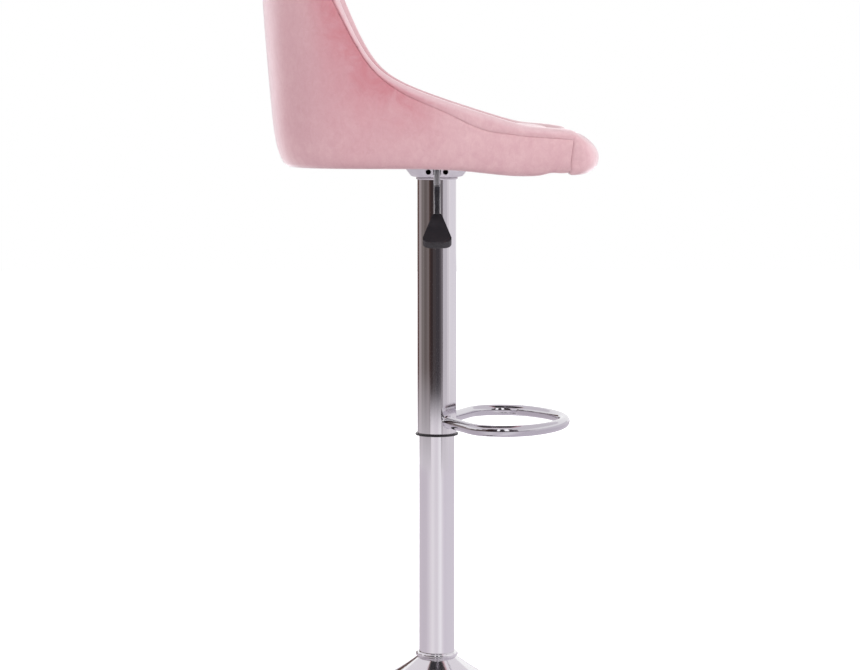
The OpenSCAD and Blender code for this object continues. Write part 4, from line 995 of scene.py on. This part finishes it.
def floor_material():
    """Pale floor: white to the camera, and soft lilac bands where the chrome reflects it."""
    p = paint("pale floor", "ShaderNodeBsdfDiffuse")
    p.set(Color=(0.78, 0.76, 0.79))
    distance = p.node("ShaderNodeVectorMath")
    distance.operation = "LENGTH"
    p.join(p.place(), distance.inputs[0])
    glow = p.node("ShaderNodeEmission")
    lift = p.spread(distance.outputs["Value"], *FLOOR_GLOW)
    p.join(p.math("MULTIPLY", rays(p, "Is Camera Ray", "Is Transmission Ray"), lift), glow.inputs["Strength"])
    seen = p.node("ShaderNodeAddShader")
    p.join(p.shader.outputs[0], seen.inputs[0])
    p.join(glow.outputs[0], seen.inputs[1])
    toward_camera = p.math("MAXIMUM", p.math("MULTIPLY", p.axis("Y"), -1.0), 0.05)
    bearing = p.spread(p.math("DIVIDE", p.axis("X"), toward_camera), -FLOOR_REACH, FLOOR_REACH)
    stops = [((place + FLOOR_REACH) / (2 * FLOOR_REACH), srgb(*tone)) for place, tone in FLOOR_BANDS]
    mirrored = p.node("ShaderNodeEmission")
    p.join(p.ramp(bearing, stops), mirrored.inputs["Color"])
    p.end_in_mix(rays(p, "Is Glossy Ray"), seen, mirrored)
    return p.owner


def quad(name, corners, material):
    """A four-cornered sheet."""
    mesh = bpy.data.meshes.new(name)
    mesh.from_pydata(corners, [], [(0, 1, 2, 3)])
    mesh.materials.append(material)
    return add_object(name, mesh)


def level_quad(name, half, height, material):
    """A level square sheet round the stool."""
    corners = [(-half, -half, height), (half, -half, height), (half, half, height), (-half, half, height)]
    return quad(name, corners, material)


def only_reflected(piece):
    """Hides a sheet from all rays but glossy ones."""
    piece.visible_camera = piece.visible_diffuse = piece.visible_shadow = False
    piece.visible_transmission = piece.visible_volume_scatter = False


def card(name, bearing, distance, low, high, width, tone, fade=0.001):
    """A coloured card that only shows as a reflection in the chrome, fading into the floor at its lower edge."""
    p = paint(name, "ShaderNodeEmission")
    p.set(Color=p.mix(p.spread(p.axis("Z"), low, low + fade), FLOOR_TONE, tone))
    w = width / 2
    piece = quad(name, [(-w, 0, low), (w, 0, low), (w, 0, high), (-w, 0, high)], p.owner)
    piece.location = (distance * math.sin(bearing), -distance * math.cos(bearing), 0)
    piece.rotation_euler = (0, 0, bearing)
    only_reflected(piece)


def ceiling(tone):
    """A large card overhead that tints what the upper faces of the chrome reflect."""
    p = paint("ceiling", "ShaderNodeEmission")
    p.set(Color=tone)
    piece = level_quad("ceiling", CEILING_HALF, CEILING_Z, p.owner)
    only_reflected(piece)


def lamp(name, place, target, size, power):
    """A round soft lamp that doesn't show in reflections."""
    data = bpy.data.lights.new(name, "AREA")
    data.shape, data.size, data.energy = "DISK", size, power
    piece = add_object(name, data)
    piece.location = place
    piece.rotation_euler = (Vector(target) - Vector(place)).to_track_quat("-Z", "Y").to_euler()
    piece.visible_glossy = False


def photo_camera(look):
    """The camera at the photograph's viewing angle."""
    data = bpy.data.cameras.new("camera")
    data.lens, data.sensor_width, data.shift_y = look.lens, SENSOR_WIDTH, CAMERA_SHIFT
    camera = add_object("camera", data)
    camera.location = CAMERA_PLACE
    camera.rotation_euler = (math.pi / 2 - look.tilt, 0, 0)
    bpy.context.scene.camera = camera


class BARSTOOL_OT_studio(bpy.types.Operator):
    """Set up the floor, the light and the camera"""
    bl_idname = "barstool.studio"
    bl_label = "Studio"
    bl_options = {"REGISTER", "UNDO"}

    def execute(self, context):
        look = context.scene.barstool_studio
        context.scene.view_settings.view_transform = "Standard"
        studio_world(look.world_level)
        floor = level_quad("floor", FLOOR_HALF, 0, floor_material())
        for name, place, target, size, share in LAMPS:
            lamp(name, place, target, size, share * look.key_level)
        for number, (start, end, high, tone) in enumerate(REFLECTIONS):
            middle = (start + end) / 2
            low, fade = COLUMN_EDGE if COLUMN_BEARINGS[0] < middle < COLUMN_BEARINGS[1] else OUTER_EDGE
            width = 2 * CARD_DISTANCE * math.tan(math.radians(end - start) / 2)
            card(f"card_{number}", math.radians(middle), CARD_DISTANCE, low, high, width, srgb(*tone), fade)
        for number, bearing in enumerate(SOFTBOX_BEARINGS):
            card(f"softbox_{number}", math.radians(bearing), SOFTBOX_DISTANCE, SOFTBOX_LOW, SOFTBOX_HIGH,
                 SOFTBOX_WIDTH, SOFTBOX_TONE)
        ceiling(CEILING_TONE)
        photo_camera(look)
        return {"FINISHED"}


class BARSTOOL_PT_panel(bpy.types.Panel):
    """Lists the steps that dress the stool"""
    bl_idname = "BARSTOOL_PT_panel"
    bl_label = "Bar stool"
    bl_space_type = "VIEW_3D"
    bl_region_type = "UI"
    bl_category = "Bar stool"

    def draw(self, context):
        for title, name, _ in GROUPS:
            group = getattr(context.scene, name)
            box = self.layout.box()
            box.label(text=title)
            for key in group.bl_rna.properties.keys():
                if key not in {"rna_type", "name"}:
                    box.prop(group, key)
        for step in STEPS:
            self.layout.operator(step.bl_idname)


GROUPS = (("Seat", "barstool_seat", SeatSizes), ("Velvet", "barstool_velvet", VelvetLook),
          ("Studio", "barstool_studio", StudioLook))
STEPS = (BARSTOOL_OT_velvets, BARSTOOL_OT_metal, BARSTOOL_OT_outer_panel, BARSTOOL_OT_padding,
         BARSTOOL_OT_cushion, BARSTOOL_OT_studio)


def register():
    for _, name, group in GROUPS:
        bpy.utils.register_class(group)
        setattr(bpy.types.Scene, name, PointerProperty(type=group))
    for step in STEPS:
        bpy.utils.register_class(step)
    bpy.utils.register_class(BARSTOOL_PT_panel)


def unregister():
    bpy.utils.unregister_class(BARSTOOL_PT_panel)
    for step in reversed(STEPS):
        bpy.utils.unregister_class(step)
    for _, name, group in reversed(GROUPS):
        delattr(bpy.types.Scene, name)
        bpy.utils.unregister_class(group)


def main():
    register()
    bpy.ops.barstool.velvets()
    bpy.ops.barstool.metal()
    bpy.ops.barstool.outer_panel()
    bpy.ops.barstool.padding()
    bpy.ops.barstool.cushion()
    bpy.ops.barstool.studio()


if __name__ == "__main__":
    main()
